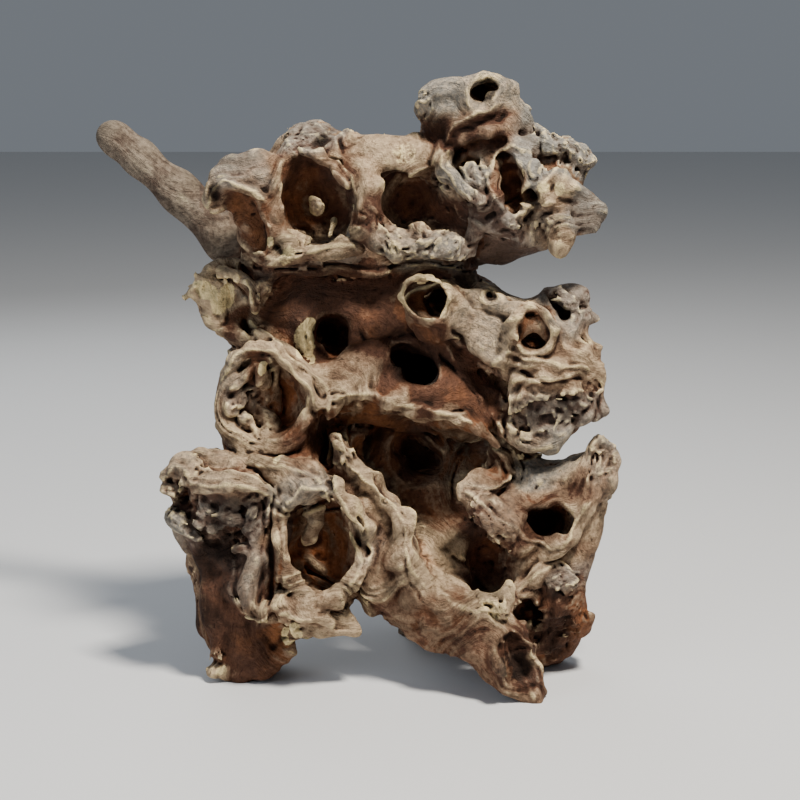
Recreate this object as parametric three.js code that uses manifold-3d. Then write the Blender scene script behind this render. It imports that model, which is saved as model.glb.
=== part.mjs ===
// Savanna driftwood: one weathered, termite-hollowed root burl standing on four worn roots.
// A crown with open cups leans over a hollow trunk wall, a knotty arm reaches right, and a
// straight branch leaves the back of the crown. The wood is parted only at its main forks.
// Millimetres, +Z up, the front faces -Y, and the origin is on the floor under the middle.
import * as THREE from "three";
import { MarchingCubes } from "three/addons/objects/MarchingCubes.js";
import { ConvexGeometry } from "three/addons/geometries/ConvexGeometry.js";
import { mergeVertices } from "three/addons/utils/BufferGeometryUtils.js";
import Module from "manifold-3d";

// Driving dimensions of the whole piece.
const pixelSize = 0.8; // one pixel of the photograph, measured at the middle of the wood
const viewDistance = 1600; // from the camera to the middle of the wood
const viewElevation = THREE.MathUtils.degToRad(11);
const middleHeight = 213; // height above the floor of the point in the middle of the picture
const pictureMiddle = 400; // column and row of the middle of the 800 x 800 picture
const middleOffset = { x: -35.6, y: -21.9 }; // from the picture's middle to the middle of the wood

// How finely the surface is worked out, and how many triangles are left of it.
const gridCells = 96;
const gridSide = 560;
const gridCentre = new THREE.Vector3(-30, -15, 245);
const triangleTarget = 6600;
const farAway = 40; // stands for "outside every swelling" in the depth field
const forkGap = 0.3;

// How softly each kind of form runs into the wood around it.
const blends = { swelling: 15, ridge: 9, hollow: 5, knot: 5 };

// Each form is a run of stations [column, row, depth, radius]: column and row are pixels of
// the 800 x 800 photograph, depth is how far behind the wood's middle plane, and radius is
// its half thickness there, both in millimetres. The wood thickens and bends evenly between.
const swellings = {
  "trunk wall": [
    [
      [258, 284, 18, 20], [300, 282, 28, 32], [350, 284, 32, 34], [400, 287, 32, 34],
      [450, 292, 24, 28], [478, 302, 15, 20],
    ],
    [
      [262, 320, 10, 20], [310, 325, 20, 34], [360, 330, 24, 38], [410, 335, 22, 38],
      [460, 345, 15, 34],
    ],
    [
      [255, 352, 5, 20], [300, 372, 5, 28], [350, 380, 0, 30], [400, 385, -2, 32], [450, 395, -5, 34],
      [492, 402, -5, 26],
    ],
    [[330, 381, -25, 22], [380, 376, -29, 24], [430, 389, -37, 24], [474, 408, -41, 22]],
  ],
  "hollow's back": [
    [[330, 430, 26, 24], [385, 450, 46, 28], [440, 465, 48, 30], [492, 476, 26, 30]],
    [[400, 490, 46, 26], [445, 535, 40, 30], [440, 580, 28, 30]],
    [[300, 425, 0, 22], [305, 465, -8, 22], [318, 500, -14, 22]],
  ],
  "left bowl": [
    [[260, 390, -16, 32], [267, 404, -16, 36], [268, 425, -14, 33], [262, 445, -14, 25]],
  ],
  "tube knot": [
    [[452, 332, -10, 26], [440, 313, -45, 21], [425, 298, -76, 16.5]],
  ],
  "left flange": [
    [[250, 300, 10, 22], [226, 298, 2, 19], [207, 297, -6, 11], [195, 297, -10, 5]],
    [[212, 318, -6, 9], [230, 330, -8, 10], [242, 334, -8, 12]],
  ],
  "crown": [
    [[345, 168, 0, 18], [395, 174, 4, 20], [440, 174, 0, 22]],
    [[350, 216, 4, 32], [400, 216, 10, 38], [450, 222, 4, 34]],
    [[345, 156, -30, 10], [380, 161, -38, 14], [412, 162, -40, 14], [438, 158, -36, 11]],
    [[300, 244, 10, 16], [345, 242, 10, 18], [400, 240, 8, 22], [450, 246, 2, 20]],
  ],
  "crown cup": [
    [[306, 160, -8, 26], [318, 185, -4, 42], [308, 215, -4, 40], [338, 226, -6, 36]],
    [
      [290, 184, -28, 20], [262, 180, -38, 16], [240, 179, -44, 14], [227, 185, -47, 11],
      [220, 194, -48, 7], [217, 204, -48, 4],
    ],
    [[276, 204, -24, 17], [269, 228, -18, 16], [265, 250, -8, 16]],
    [[246, 196, -38, 11], [256, 214, -34, 11], [263, 236, -28, 12]],
  ],
  "crown knob": [
    [[446, 148, -14, 16], [450, 128, -22, 17], [478, 122, -32, 18], [506, 124, -34, 15]],
    [
      [428, 106, -36, 8], [440, 103, -38, 12], [462, 101, -40, 13], [486, 103, -42, 14],
      [504, 117, -38, 13],
    ],
  ],
  "crown burl": [
    [
      [468, 182, -16, 32], [500, 190, -22, 42], [530, 192, -24, 38], [552, 176, -28, 23],
      [572, 160, -32, 13], [587, 162, -34, 7],
    ],
    [[485, 225, -14, 28], [515, 216, -20, 30], [545, 212, -30, 22]],
    [[552, 208, -50, 14], [572, 211, -56, 14], [582, 213, -57, 14]],
    [[543, 195, -62, 6], [556, 198, -64, 6], [571, 194, -66, 6]],
    [[549, 177, -66, 4], [563, 175, -72, 2]],
  ],
  "long branch": [
    [
      [300, 250, 20, 22], [262, 248, 28, 20], [229, 238, 32, 18.5], [180, 193, 38, 14.5],
      [140, 158, 42, 12.5], [116, 139, 45, 11.5], [112, 136, 46, 11],
    ],
  ],
  "right arm": [
    [
      [458, 310, -18, 20], [480, 325, -30, 27], [512, 338, -38, 29], [545, 348, -42, 29],
      [562, 372, -42, 28], [552, 400, -42, 26], [536, 424, -40, 18],
    ],
    [
      [540, 318, -38, 16], [560, 306, -36, 13], [572, 304, -36, 11], [580, 316, -34, 7],
      [591, 319, -32, 3],
    ],
    [[520, 404, -50, 15], [545, 396, -56, 17], [572, 386, -56, 17], [588, 398, -48, 12]],
    [[560, 345, -50, 18], [578, 362, -52, 15], [588, 374, -50, 12]],
  ],
  "left foot": [
    [
      [185, 475, -54, 10], [208, 481, -50, 19], [240, 488, -44, 30], [285, 500, -40, 32],
      [315, 520, -42, 34],
    ],
    [[318, 535, -46, 40], [318, 566, -46, 38]],
    [
      [227, 515, -42, 31], [237, 560, -36, 35], [248, 605, -36, 37], [247, 640, -42, 31],
      [244, 658, -46, 24],
    ],
    [
      [262, 560, -40, 30], [280, 600, -44, 28], [300, 605, -48, 26], [323, 614, -62, 14],
      [337, 622, -73, 8], [352, 630, -78, 5],
    ],
    [[262, 515, -62, 17], [266, 555, -64, 17], [266, 600, -66, 16]],
    [[270, 478, -66, 15], [300, 482, -76, 13], [322, 484, -84, 8]],
    [[285, 455, -30, 20], [290, 480, -35, 24]],
    [[190, 500, -50, 12], [194, 520, -50, 12], [204, 535, -46, 15]],
  ],
  "front foot": [
    [
      [352, 445, -26, 14], [358, 480, -44, 18], [374, 512, -54, 22], [382, 550, -58, 24],
      [396, 584, -58, 22],
    ],
    [[400, 465, 22, 38], [435, 490, 22, 42], [445, 535, 6, 44], [442, 572, -18, 42]],
    [
      [396, 592, -56, 20], [428, 606, -68, 24], [462, 618, -82, 26], [490, 638, -94, 25],
      [510, 662, -102, 19], [523, 688, -108, 12], [531, 704, -110, 8],
    ],
    [
      [506, 452, -30, 11], [508, 485, -26, 14], [506, 530, -26, 18], [512, 570, -45, 20],
      [505, 605, -74, 20],
    ],
  ],
  "right foot": [
    [[518, 480, -28, 24], [553, 498, -34, 24], [586, 476, -38, 17], [606, 458, -42, 9]],
    [
      [478, 496, -62, 9], [496, 520, -58, 19], [530, 514, -42, 30], [562, 508, -36, 28],
      [590, 496, -28, 14],
    ],
    [
      [570, 530, -34, 22], [562, 562, -40, 22], [554, 592, -46, 22], [556, 616, -30, 23],
      [547, 640, -24, 17], [542, 656, -20, 13],
    ],
    [[530, 590, -40, 20], [530, 618, -34, 19], [540, 640, -28, 16]],
  ],
  "back foot": [
    [[440, 560, 40, 30], [432, 600, 52, 24], [428, 625, 62, 20], [424, 642, 70, 16]],
  ],
  "back": [
    [[330, 300, 46, 18], [345, 350, 50, 18], [362, 400, 46, 18], [372, 440, 52, 16]],
    [[420, 300, 46, 14], [430, 360, 44, 16], [436, 420, 44, 22], [440, 470, 56, 18]],
    [[300, 190, 22, 16], [340, 180, 34, 14], [400, 182, 40, 14], [470, 190, 18, 20]],
    [[240, 500, -14, 18], [262, 560, -8, 16], [280, 600, -16, 14]],
  ],
};

// Raised lips, folds and crusts on the swellings.
const ridges = {
  "trunk wall": [
    [
      [243, 338, -22, 7], [262, 342, -28, 8], [280, 350, -32, 9], [300, 368, -36, 9],
      [318, 385, -42, 9], [326, 406, -48, 7], [323, 416, -48, 5],
    ],
    [
      [326, 406, -48, 7], [345, 395, -52, 6], [370, 391, -56, 5], [395, 399, -62, 5],
      [412, 412, -66, 5], [435, 415, -69, 5], [458, 419, -69, 5], [480, 429, -64, 5],
      [498, 442, -56, 5],
    ],
    [[345, 386, -44, 8], [380, 381, -48, 8], [412, 396, -56, 8], [446, 402, -60, 8]],
    [[226, 274, -20, 7], [240, 282, -26, 8], [250, 297, -28, 7], [256, 314, -22, 4]],
    [[252, 286, -24, 5], [262, 284, -20, 5], [270, 277, -16, 4]],
    [[302, 322, -14, 5], [306, 338, -15, 6], [308, 352, -16, 5]],
    [
      [345, 372, -36, 5], [372, 360, -34, 5], [392, 350, -28, 5], [412, 344, -26, 5],
      [434, 352, -30, 5],
    ],
    [[262, 272, -10, 5], [300, 268, -16, 6], [345, 270, -16, 6], [385, 266, -14, 6]],
    [[290, 262, 52, 7], [318, 330, 66, 8], [348, 392, 66, 8], [378, 452, 72, 7], [398, 500, 70, 6]],
    [
      [372, 250, 52, 7], [392, 320, 66, 8], [412, 392, 62, 7], [446, 462, 76, 7], [452, 540, 70, 7],
      [440, 610, 76, 6],
    ],
    [[330, 200, 44, 7], [380, 222, 50, 8], [440, 214, 42, 8], [500, 214, 22, 7]],
    [[282, 232, 34, 6], [330, 250, 46, 6], [420, 262, 46, 6], [468, 268, 32, 5]],
  ],
  "left bowl": [
    [
      [226, 372, -36, 5], [232, 358, -40, 5], [250, 353, -44, 6], [270, 352, -48, 6],
      [288, 364, -52, 5], [302, 382, -53, 5], [308, 402, -53, 5], [304, 422, -52, 5],
      [292, 440, -50, 5], [272, 450, -46, 6], [246, 444, -42, 6], [229, 426, -36, 5],
      [222, 400, -34, 5], [227, 372, -36, 4],
    ],
  ],
  "tube knot": [
    [
      [403, 299, -80, 2.4], [409, 285, -84, 2.4], [424, 279, -86, 2.4], [439, 283, -84, 2.4],
      [446, 297, -80, 2.4], [442, 311, -77, 2.4], [425, 318, -75, 2.4], [409, 313, -77, 2.4],
      [403, 299, -80, 2.4],
    ],
    [[448, 290, -70, 5], [458, 308, -60, 6], [462, 326, -50, 7]],
  ],
  "left flange": [
    [[190, 295, -12, 4], [201, 280, -12, 4], [211, 273, -8, 4], [226, 268, -4, 5], [236, 266, -2, 6]],
    [
      [190, 297, -12, 4], [203, 306, -14, 4], [206, 318, -14, 5], [222, 334, -16, 5],
      [242, 334, -18, 5],
    ],
  ],
  "crown cup": [
    [
      [276, 165, -26, 7], [287, 155, -30, 8], [296, 146, -30, 8], [308, 142, -28, 7],
      [322, 145, -28, 7], [334, 151, -28, 8], [346, 144, -28, 7], [357, 146, -30, 6],
    ],
    [
      [342, 156, -36, 9], [354, 172, -48, 9], [360, 190, -56, 9], [360, 210, -60, 9],
      [364, 228, -62, 9],
    ],
    [
      [252, 244, -34, 5], [262, 253, -46, 5], [280, 258, -52, 5], [300, 257, -56, 6],
      [318, 252, -58, 7], [338, 248, -60, 7], [356, 250, -60, 7],
    ],
    [
      [209, 184, -56, 3], [226, 180, -60, 4], [241, 184, -61, 3.5], [253, 190, -60, 3.5],
      [262, 201, -58, 3.5], [269, 214, -56, 3.5], [272, 228, -54, 4], [272, 246, -52, 4],
    ],
    [[281, 168, -46, 4], [279, 186, -54, 4], [275, 206, -57, 4], [272, 224, -56, 4]],
    [[211, 190, -54, 3], [211, 203, -54, 3], [215, 210, -52, 3], [224, 205, -54, 3]],
    [
      [212, 194, -48, 4], [219, 175, -50, 6], [233, 164, -48, 7], [250, 160, -46, 7],
      [268, 164, -42, 6],
    ],
  ],
  "crown": [
    [
      [364, 230, -64, 9], [380, 240, -68, 9], [396, 247, -70, 9], [414, 242, -70, 9],
      [434, 244, -68, 9], [452, 248, -62, 8], [466, 254, -52, 7],
    ],
    [[366, 168, -50, 7], [376, 190, -60, 8], [374, 212, -64, 9], [384, 232, -66, 9]],
    [
      [344, 142, -26, 6], [366, 146, -32, 5], [392, 146, -34, 5], [418, 142, -34, 5],
      [438, 140, -32, 5],
    ],
  ],
  "crown knob": [
    [
      [465, 94, -54, 4], [468, 84, -54, 3.5], [481, 81, -55, 3.5], [495, 84, -56, 4.5],
      [503, 94, -56, 5.5], [494, 105, -56, 5.5], [478, 108, -55, 4.5], [465, 94, -54, 4],
    ],
    [[478, 108, -56, 3.5], [464, 118, -54, 3.5], [454, 128, -48, 3.5], [446, 142, -42, 4]],
    [
      [450, 142, -44, 4], [468, 138, -54, 4], [490, 131, -58, 4], [510, 126, -55, 4],
      [524, 123, -46, 4],
    ],
    [[498, 94, -56, 5], [510, 106, -50, 5], [520, 118, -44, 5], [522, 132, -40, 6]],
    [[419, 104, -43, 3], [428, 98, -46, 3.5], [444, 93, -50, 3.5], [460, 88, -53, 3.5]],
  ],
  "crown burl": [
    [
      [443, 148, -46, 5], [443, 164, -54, 6], [449, 180, -62, 7], [462, 192, -66, 7],
      [480, 199, -70, 7], [496, 194, -72, 7], [494, 178, -68, 5], [503, 162, -64, 5],
      [512, 146, -58, 5], [522, 150, -56, 5],
    ],
    [
      [524, 160, -66, 4], [530, 182, -70, 5], [527, 204, -70, 5], [516, 219, -68, 6],
      [503, 208, -72, 5],
    ],
    [[520, 156, -64, 4], [532, 170, -70, 4], [545, 178, -72, 4], [558, 175, -72, 3]],
    [
      [562, 201, -70, 5], [580, 199, -70, 5], [590, 202, -67, 4], [594, 213, -64, 4],
      [590, 225, -64, 4],
    ],
    [[530, 146, -50, 6], [545, 146, -54, 6], [562, 150, -50, 6], [580, 154, -44, 5]],
    [[526, 128, -38, 6], [536, 136, -42, 6], [552, 142, -44, 5]],
    [[470, 206, -60, 6], [478, 226, -58, 7], [470, 244, -52, 7]],
    [[498, 226, -58, 7], [520, 232, -56, 7], [542, 226, -58, 7], [550, 214, -62, 6]],
  ],
  "right arm": [
    [
      [512, 332, -72, 3.5], [517, 318, -76, 3.5], [530, 312, -78, 3.5], [544, 318, -78, 3.5],
      [549, 332, -78, 3.5], [544, 348, -76, 3.5], [528, 353, -74, 3.5], [512, 332, -72, 3.5],
    ],
    [
      [490, 360, -56, 6], [508, 352, -64, 6], [526, 358, -70, 6], [552, 366, -72, 6],
      [578, 362, -68, 6], [596, 370, -58, 5],
    ],
    [
      [470, 304, -44, 5], [492, 304, -58, 5], [512, 312, -66, 5], [530, 312, -66, 4],
      [548, 302, -54, 4],
    ],
    [
      [508, 396, -62, 6], [520, 384, -68, 6], [545, 382, -74, 6], [570, 376, -70, 6],
      [596, 384, -58, 5],
    ],
    [
      [507, 410, -62, 7], [512, 430, -60, 7], [528, 440, -60, 7], [546, 442, -60, 6],
      [560, 428, -62, 6], [580, 418, -62, 6], [598, 406, -54, 5],
    ],
    [
      [549, 292, -44, 4], [562, 290, -46, 4], [576, 297, -44, 4], [584, 312, -40, 4],
      [574, 324, -44, 4], [560, 326, -50, 4],
    ],
  ],
  "left foot": [
    [
      [168, 486, -52, 4], [169, 474, -58, 5], [177, 466, -64, 6], [187, 469, -70, 7],
      [194, 480, -74, 8], [200, 490, -76, 7],
    ],
    [
      [194, 480, -74, 7], [208, 484, -80, 7], [230, 482, -84, 8], [250, 487, -86, 8],
      [266, 498, -86, 7], [274, 515, -86, 6],
    ],
    [[200, 462, -44, 7], [214, 466, -52, 7], [232, 468, -58, 7], [250, 476, -66, 7]],
    [
      [198, 502, -72, 6], [214, 508, -80, 6], [236, 502, -84, 7], [250, 506, -86, 7],
      [262, 518, -84, 6],
    ],
    [[177, 513, -60, 6], [185, 522, -66, 7], [194, 532, -74, 6]],
    [
      [196, 536, -66, 6], [202, 556, -66, 6], [208, 585, -66, 6], [211, 620, -66, 6],
      [215, 655, -70, 6],
    ],
    [
      [252, 530, -84, 6], [258, 560, -86, 6], [250, 590, -88, 7], [254, 610, -92, 7],
      [282, 606, -94, 6], [306, 614, -92, 5], [328, 623, -88, 4],
    ],
    [[258, 466, -68, 5], [285, 464, -74, 5], [310, 472, -80, 6], [330, 482, -86, 4]],
    [
      [286, 500, -86, 6], [310, 486, -92, 6], [334, 488, -92, 6], [350, 506, -90, 7],
      [362, 530, -86, 7], [364, 556, -84, 6], [354, 582, -86, 6], [334, 600, -88, 7],
      [306, 600, -90, 6], [286, 578, -88, 6], [278, 540, -88, 6], [286, 500, -86, 6],
    ],
    [[276, 600, -86, 5], [300, 628, -84, 5], [322, 632, -83, 4], [345, 634, -80, 3]],
    [[214, 672, -66, 6], [240, 676, -66, 6], [262, 668, -66, 6], [290, 652, -68, 6]],
  ],
  "front foot": [
    [
      [338, 440, -44, 6], [344, 466, -58, 7], [366, 480, -68, 7], [388, 496, -74, 8],
      [404, 520, -80, 11], [408, 556, -84, 12], [418, 590, -86, 12],
    ],
    [[362, 512, -72, 6], [360, 540, -76, 6], [366, 568, -74, 6], [378, 590, -74, 8]],
    [
      [414, 596, -84, 10], [446, 604, -96, 9], [476, 604, -106, 9], [498, 604, -108, 8],
      [508, 594, -108, 4],
    ],
    [[493, 640, -118, 7], [505, 668, -124, 6], [522, 692, -121, 4]],
    [[512, 632, -110, 5], [526, 646, -108, 6], [536, 668, -106, 6], [539, 690, -107, 5]],
    [[424, 470, 6, 5], [436, 500, -2, 6], [440, 535, -20, 8], [430, 565, -44, 10]],
    [[500, 452, -44, 6], [506, 470, -44, 5], [500, 492, -44, 6], [488, 520, -50, 6]],
  ],
  "right foot": [
    [[466, 492, -70, 7], [482, 508, -76, 9], [500, 528, -78, 11], [520, 546, -74, 10]],
    [
      [522, 562, -66, 8], [550, 552, -70, 9], [570, 532, -66, 9], [582, 506, -58, 8],
      [590, 490, -52, 7],
    ],
    [
      [596, 450, -48, 6], [606, 448, -48, 5], [613, 462, -46, 6], [604, 482, -46, 7],
      [596, 494, -44, 7],
    ],
    [[522, 586, -72, 7], [540, 576, -74, 8], [560, 580, -70, 8], [576, 594, -60, 8]],
    [[520, 470, -50, 6], [542, 478, -54, 7], [566, 478, -54, 6], [588, 464, -50, 6]],
    [[534, 644, -46, 5], [548, 640, -50, 5], [564, 630, -50, 5], [580, 616, -44, 5]],
    [[540, 606, -64, 5], [556, 602, -66, 5], [574, 596, -58, 5]],
    [[566, 612, -56, 5], [582, 616, -50, 5], [578, 626, -46, 4]],
  ],
};

// Rotted-out hollows, holes and scoops.
const hollows = {
  "trunk wall": [
    [[327, 332, -60, 12], [328, 333, -4, 13], [334, 334, 26, 12]],
    [[332, 344, -60, 9], [332, 343, 10, 11]],
    [[400, 358, -70, 10], [402, 360, 0, 11], [410, 364, 22, 12]],
    [[420, 370, -70, 15], [420, 371, -6, 16], [422, 370, 18, 13]],
    [
      [330, 414, -60, 5], [330, 440, -54, 7], [334, 475, -66, 6], [352, 510, -90, 4],
      [368, 550, -96, 3],
    ],
    [[475, 280, -70, 8], [468, 282, -34, 9], [462, 284, -16, 8]],
    [[364, 300, 84, 12], [372, 340, 78, 12]],
    [[300, 380, 60, 12], [312, 420, 52, 10]],
    [[420, 500, 84, 12], [424, 520, 80, 12]],
    [[400, 200, 78, 14], [420, 196, 72, 12]],
  ],
  "left bowl": [
    [[261, 396, -80, 29], [265, 402, -52, 30], [267, 406, -34, 26]],
  ],
  "tube knot": [
    [[420, 298, -104, 13.5], [421, 298, -74, 13.5], [427, 300, -56, 12]],
    [[429, 298, -104, 13.5], [430, 298, -74, 13.5], [437, 300, -56, 11], [441, 302, -30, 10]],
  ],
  "left flange": [
    [[213, 296, -38, 20], [232, 302, -30, 17], [246, 320, -28, 8]],
    [[247, 330, -40, 4], [248, 329, -10, 5]],
  ],
  "crown cup": [
    [[300, 172, -84, 20], [318, 188, -80, 32], [320, 206, -80, 32], [322, 220, -80, 26]],
    [[294, 166, -74, 12], [312, 168, -74, 14], [332, 172, -74, 13]],
    [[296, 212, -70, 14], [298, 230, -66, 13]],
    [[306, 176, -52, 20], [316, 192, -44, 29], [317, 208, -40, 30], [314, 224, -46, 24]],
    [[309, 138, -42, 6], [322, 140, -42, 6]],
    [[232, 200, -66, 6], [244, 204, -61, 8], [255, 221, -56, 8], [260, 242, -50, 7]],
    [[213, 191, -61, 3], [219, 194, -61, 4]],
    [[244, 178, -66, 4], [258, 180, -63, 5]],
  ],
  "crown": [
    [[394, 186, -84, 15], [410, 206, -84, 26], [432, 216, -80, 18]],
    [[394, 190, -46, 16], [408, 208, -36, 26], [430, 217, -38, 19]],
    [[440, 196, -66, 9], [458, 214, -70, 12], [466, 236, -72, 8]],
  ],
  "crown knob": [
    [[488, 88, -86, 6.5], [487, 89, -54, 7], [480, 94, -34, 6]],
    [[476, 90, -86, 6], [475, 91, -54, 6], [478, 94, -34, 6]],
    [[418, 118, -50, 4], [428, 122, -52, 6], [436, 131, -50, 5]],
    [[464, 152, -52, 4.5], [486, 147, -56, 5.5], [508, 140, -54, 5], [526, 136, -48, 4]],
  ],
  "crown burl": [
    [[452, 152, -84, 7], [460, 158, -64, 10], [472, 166, -50, 10]],
    [[480, 180, -50, 10], [474, 176, -52, 10]],
    [[505, 156, -76, 5], [505, 158, -52, 5]],
    [[508, 168, -82, 6.5], [509, 170, -52, 7]],
    [[510, 182, -84, 7.5], [511, 184, -52, 8.5]],
    [[514, 196, -84, 7], [515, 198, -54, 7.5]],
    [[519, 207, -82, 5], [519, 208, -60, 5]],
    [[452, 154, -64, 6], [457, 172, -68, 6], [468, 185, -74, 5.5], [482, 190, -78, 5]],
    [[534, 193, -90, 6], [535, 193, -50, 6]],
    [[540, 165, -60, 5], [550, 167, -56, 4]],
    [[556, 162, -72, 5], [568, 165, -60, 5]],
    [[555, 190, -86, 3], [557, 196, -84, 3]],
    [[526, 222, -76, 5], [548, 226, -78, 5]],
    [[572, 206, -84, 3], [586, 208, -82, 3]],
  ],
  "right arm": [
    [[531, 333, -96, 12], [532, 334, -60, 13]],
    [[557, 304, -70, 5], [560, 306, -40, 7]],
    [[568, 312, -70, 7], [567, 312, -42, 7]],
    [[574, 306, -60, 4], [572, 308, -47, 4]],
    [
      [450, 342, -56, 6], [466, 354, -50, 8], [484, 370, -50, 9], [499, 390, -56, 9],
      [504, 414, -62, 8],
    ],
    [[488, 350, -68, 5], [500, 352, -74, 5], [514, 358, -77, 5]],
    [
      [510, 388, -70, 5], [530, 389, -79, 6], [552, 390, -81, 6.5], [578, 388, -80, 6],
      [596, 385, -72, 5],
    ],
    [[590, 326, -60, 5], [584, 340, -60, 5]],
    [[522, 418, -74, 10], [542, 416, -75, 12], [566, 408, -75, 11], [580, 402, -76, 7]],
    [[487, 298, -80, 4], [486, 298, -40, 4]],
    [[496, 378, -70, 9], [500, 400, -60, 10]],
    [[566, 336, -78, 6], [580, 344, -70, 6]],
  ],
  "left foot": [
    [[316, 516, -116, 22], [320, 545, -116, 30], [316, 570, -116, 24]],
    [[318, 530, -76, 26], [320, 556, -72, 28], [316, 552, -62, 22]],
    [
      [214, 572, -108, 18], [222, 600, -108, 22], [236, 630, -114, 26], [262, 648, -114, 22],
      [285, 644, -108, 14],
    ],
    [[214, 545, -80, 12], [228, 543, -79, 13], [242, 549, -84, 10]],
    [[200, 504, -82, 6], [216, 502, -88, 6], [236, 501, -93, 6.5], [258, 508, -95, 6]],
    [[198, 514, -86, 10], [218, 517, -95, 11], [238, 518, -97, 11], [254, 525, -97, 10]],
    [[178, 494, -90, 9], [182, 498, -60, 9]],
    [[230, 469, -80, 4], [250, 471, -83, 4.5], [262, 484, -87, 4]],
    [[180, 540, -80, 4], [196, 545, -84, 4]],
  ],
  "front foot": [
    [
      [352, 442, -66, 12], [384, 446, -40, 22], [420, 452, -26, 28], [460, 458, -30, 26],
      [492, 470, -44, 14],
    ],
    [[410, 448, -6, 14], [414, 452, 24, 12]],
    [[424, 460, -6, 14], [424, 460, 24, 12]],
    [[414, 466, -6, 9], [416, 466, 16, 8]],
    [[380, 460, -84, 14], [410, 476, -66, 28], [446, 486, -60, 32], [474, 486, -60, 24]],
    [[436, 510, -66, 30], [452, 534, -80, 32], [462, 562, -94, 28], [476, 590, -116, 20]],
    [[484, 560, -70, 20], [488, 582, -70, 18], [490, 590, -56, 14]],
    [[484, 534, -54, 14], [488, 558, -40, 17], [492, 584, -50, 13]],
    [[513, 650, -124, 12], [521, 672, -120, 12], [525, 688, -122, 8]],
    [[374, 536, -100, 9], [372, 552, -98, 8]],
    [[499, 460, -70, 4], [498, 462, -40, 4]],
  ],
  "right foot": [
    [[540, 524, -90, 12], [541, 523, -54, 14], [544, 526, -34, 14]],
    [[560, 518, -90, 12], [559, 519, -54, 14], [552, 524, -34, 14]],
    [[530, 512, -80, 5], [570, 508, -76, 5]],
    [[521, 612, -100, 5], [523, 614, -52, 7]],
    [[529, 605, -100, 6], [530, 608, -52, 8]],
    [[537, 613, -100, 4], [538, 614, -52, 7]],
    [[505, 525, -96, 3], [505, 525, -66, 3]],
    [[560, 606, -90, 5], [580, 604, -80, 5]],
    [[590, 470, -70, 6], [596, 474, -54, 6]],
  ],
};

// Stubs and lumps left standing in the hollows after they rotted out.
const knots = {
  "left bowl": [
    [[235, 384, -38, 4], [238, 389, -36, 4]],
    [[242, 398, -32, 5], [247, 401, -30, 5]],
    [[234, 406, -40, 4.5], [238, 411, -40, 4.5]],
    [[255, 409, -26, 5], [259, 412, -26, 5]],
    [[247, 420, -37, 5], [252, 423, -36, 4.5]],
    [[266, 421, -31, 5], [269, 426, -33, 4.5]],
    [[258, 433, -41, 4], [262, 435, -41, 4]],
    [[260, 371, -46, 4], [264, 384, -36, 5]],
    [[244, 372, -40, 3], [254, 362, -44, 3], [268, 362, -46, 3]],
    [[240, 386, -24, 9], [250, 400, -18, 10], [254, 420, -20, 10]],
    [[250, 370, -34, 4], [256, 386, -28, 5], [266, 398, -24, 4]],
    [[272, 372, -34, 3], [276, 392, -20, 3], [274, 412, -18, 4]],
  ],
  "crown cup": [
    [[313, 198, -26, 3.4], [317, 204, -27, 3.6], [314, 210, -24, 3.4]],
    [[308, 150, -44, 5], [322, 156, -48, 5], [336, 165, -52, 5], [350, 178, -55, 6]],
    [[330, 234, -46, 4], [334, 220, -36, 3]],
    [[282, 236, -58, 4], [294, 244, -60, 4], [303, 252, -60, 4]],
    [[290, 238, -44, 4], [304, 244, -48, 5]],
  ],
  "crown": [
    [
      [384, 232, -68, 5], [396, 233, -66, 5], [408, 237, -66, 5], [420, 231, -64, 5],
      [434, 238, -66, 5], [450, 243, -64, 5],
    ],
  ],
  "crown knob": [
    [[494, 98, -62, 3], [488, 94, -58, 3]],
  ],
  "crown burl": [
    [[470, 170, -66, 5], [480, 172, -68, 6], [488, 178, -68, 5]],
    [[468, 180, -66, 4], [478, 184, -68, 4]],
    [[545, 188, -73, 6], [549, 197, -73, 6.5]],
    [[564, 184, -74, 6], [570, 193, -75, 7]],
    [[562, 212, -66, 7], [562, 224, -74, 7.5], [561, 238, -77, 7.5], [561, 247, -77, 7.5]],
  ],
  "right arm": [
    [[518, 334, -70, 3.5], [526, 326, -72, 4], [538, 326, -72, 4], [542, 336, -70, 3.5]],
    [[528, 410, -62, 5], [538, 418, -64, 5]],
    [[578, 314, -38, 5], [588, 317, -36, 3.4], [596, 318, -35, 2]],
    [[550, 406, -66, 5], [556, 410, -65, 4.5]],
    [[566, 414, -64, 5], [572, 406, -66, 4.5]],
  ],
  "left foot": [
    [
      [308, 500, -66, 4.5], [316, 508, -70, 4.5], [319, 522, -72, 3.2], [314, 536, -72, 3.6],
      [306, 541, -70, 2.6],
    ],
    [[314, 560, -46, 6], [322, 567, -48, 6]],
    [[200, 520, -76, 5], [212, 524, -80, 6]],
    [[224, 516, -84, 5], [236, 522, -84, 5]],
    [[246, 516, -88, 5], [254, 528, -86, 5]],
    [[202, 510, -78, 4], [212, 512, -82, 4]],
    [[166, 488, -64, 5], [176, 492, -68, 5]],
    [[182, 515, -66, 6.5], [188, 522, -68, 6]],
    [[238, 548, -84, 4], [250, 552, -86, 4]],
  ],
  "front foot": [
    [[338, 446, -58, 4], [346, 450, -60, 4]],
    [[510, 594, -110, 4], [512, 584, -110, 2.5]],
  ],
  "right foot": [
    [[556, 586, -76, 6], [572, 580, -72, 6]],
    [[592, 452, -52, 5], [600, 446, -52, 5]],
    [[600, 470, -52, 5], [606, 480, -50, 5]],
    [[588, 466, -52, 4], [590, 482, -52, 4]],
    [[463, 489, -72, 6], [473, 487, -70, 8], [484, 486, -66, 9], [496, 480, -56, 9]],
    [[466, 494, -74, 6], [478, 502, -76, 8], [492, 516, -78, 8]],
    [[500, 452, -46, 4], [501, 466, -50, 5], [498, 480, -56, 6]],
  ],
};

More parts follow.
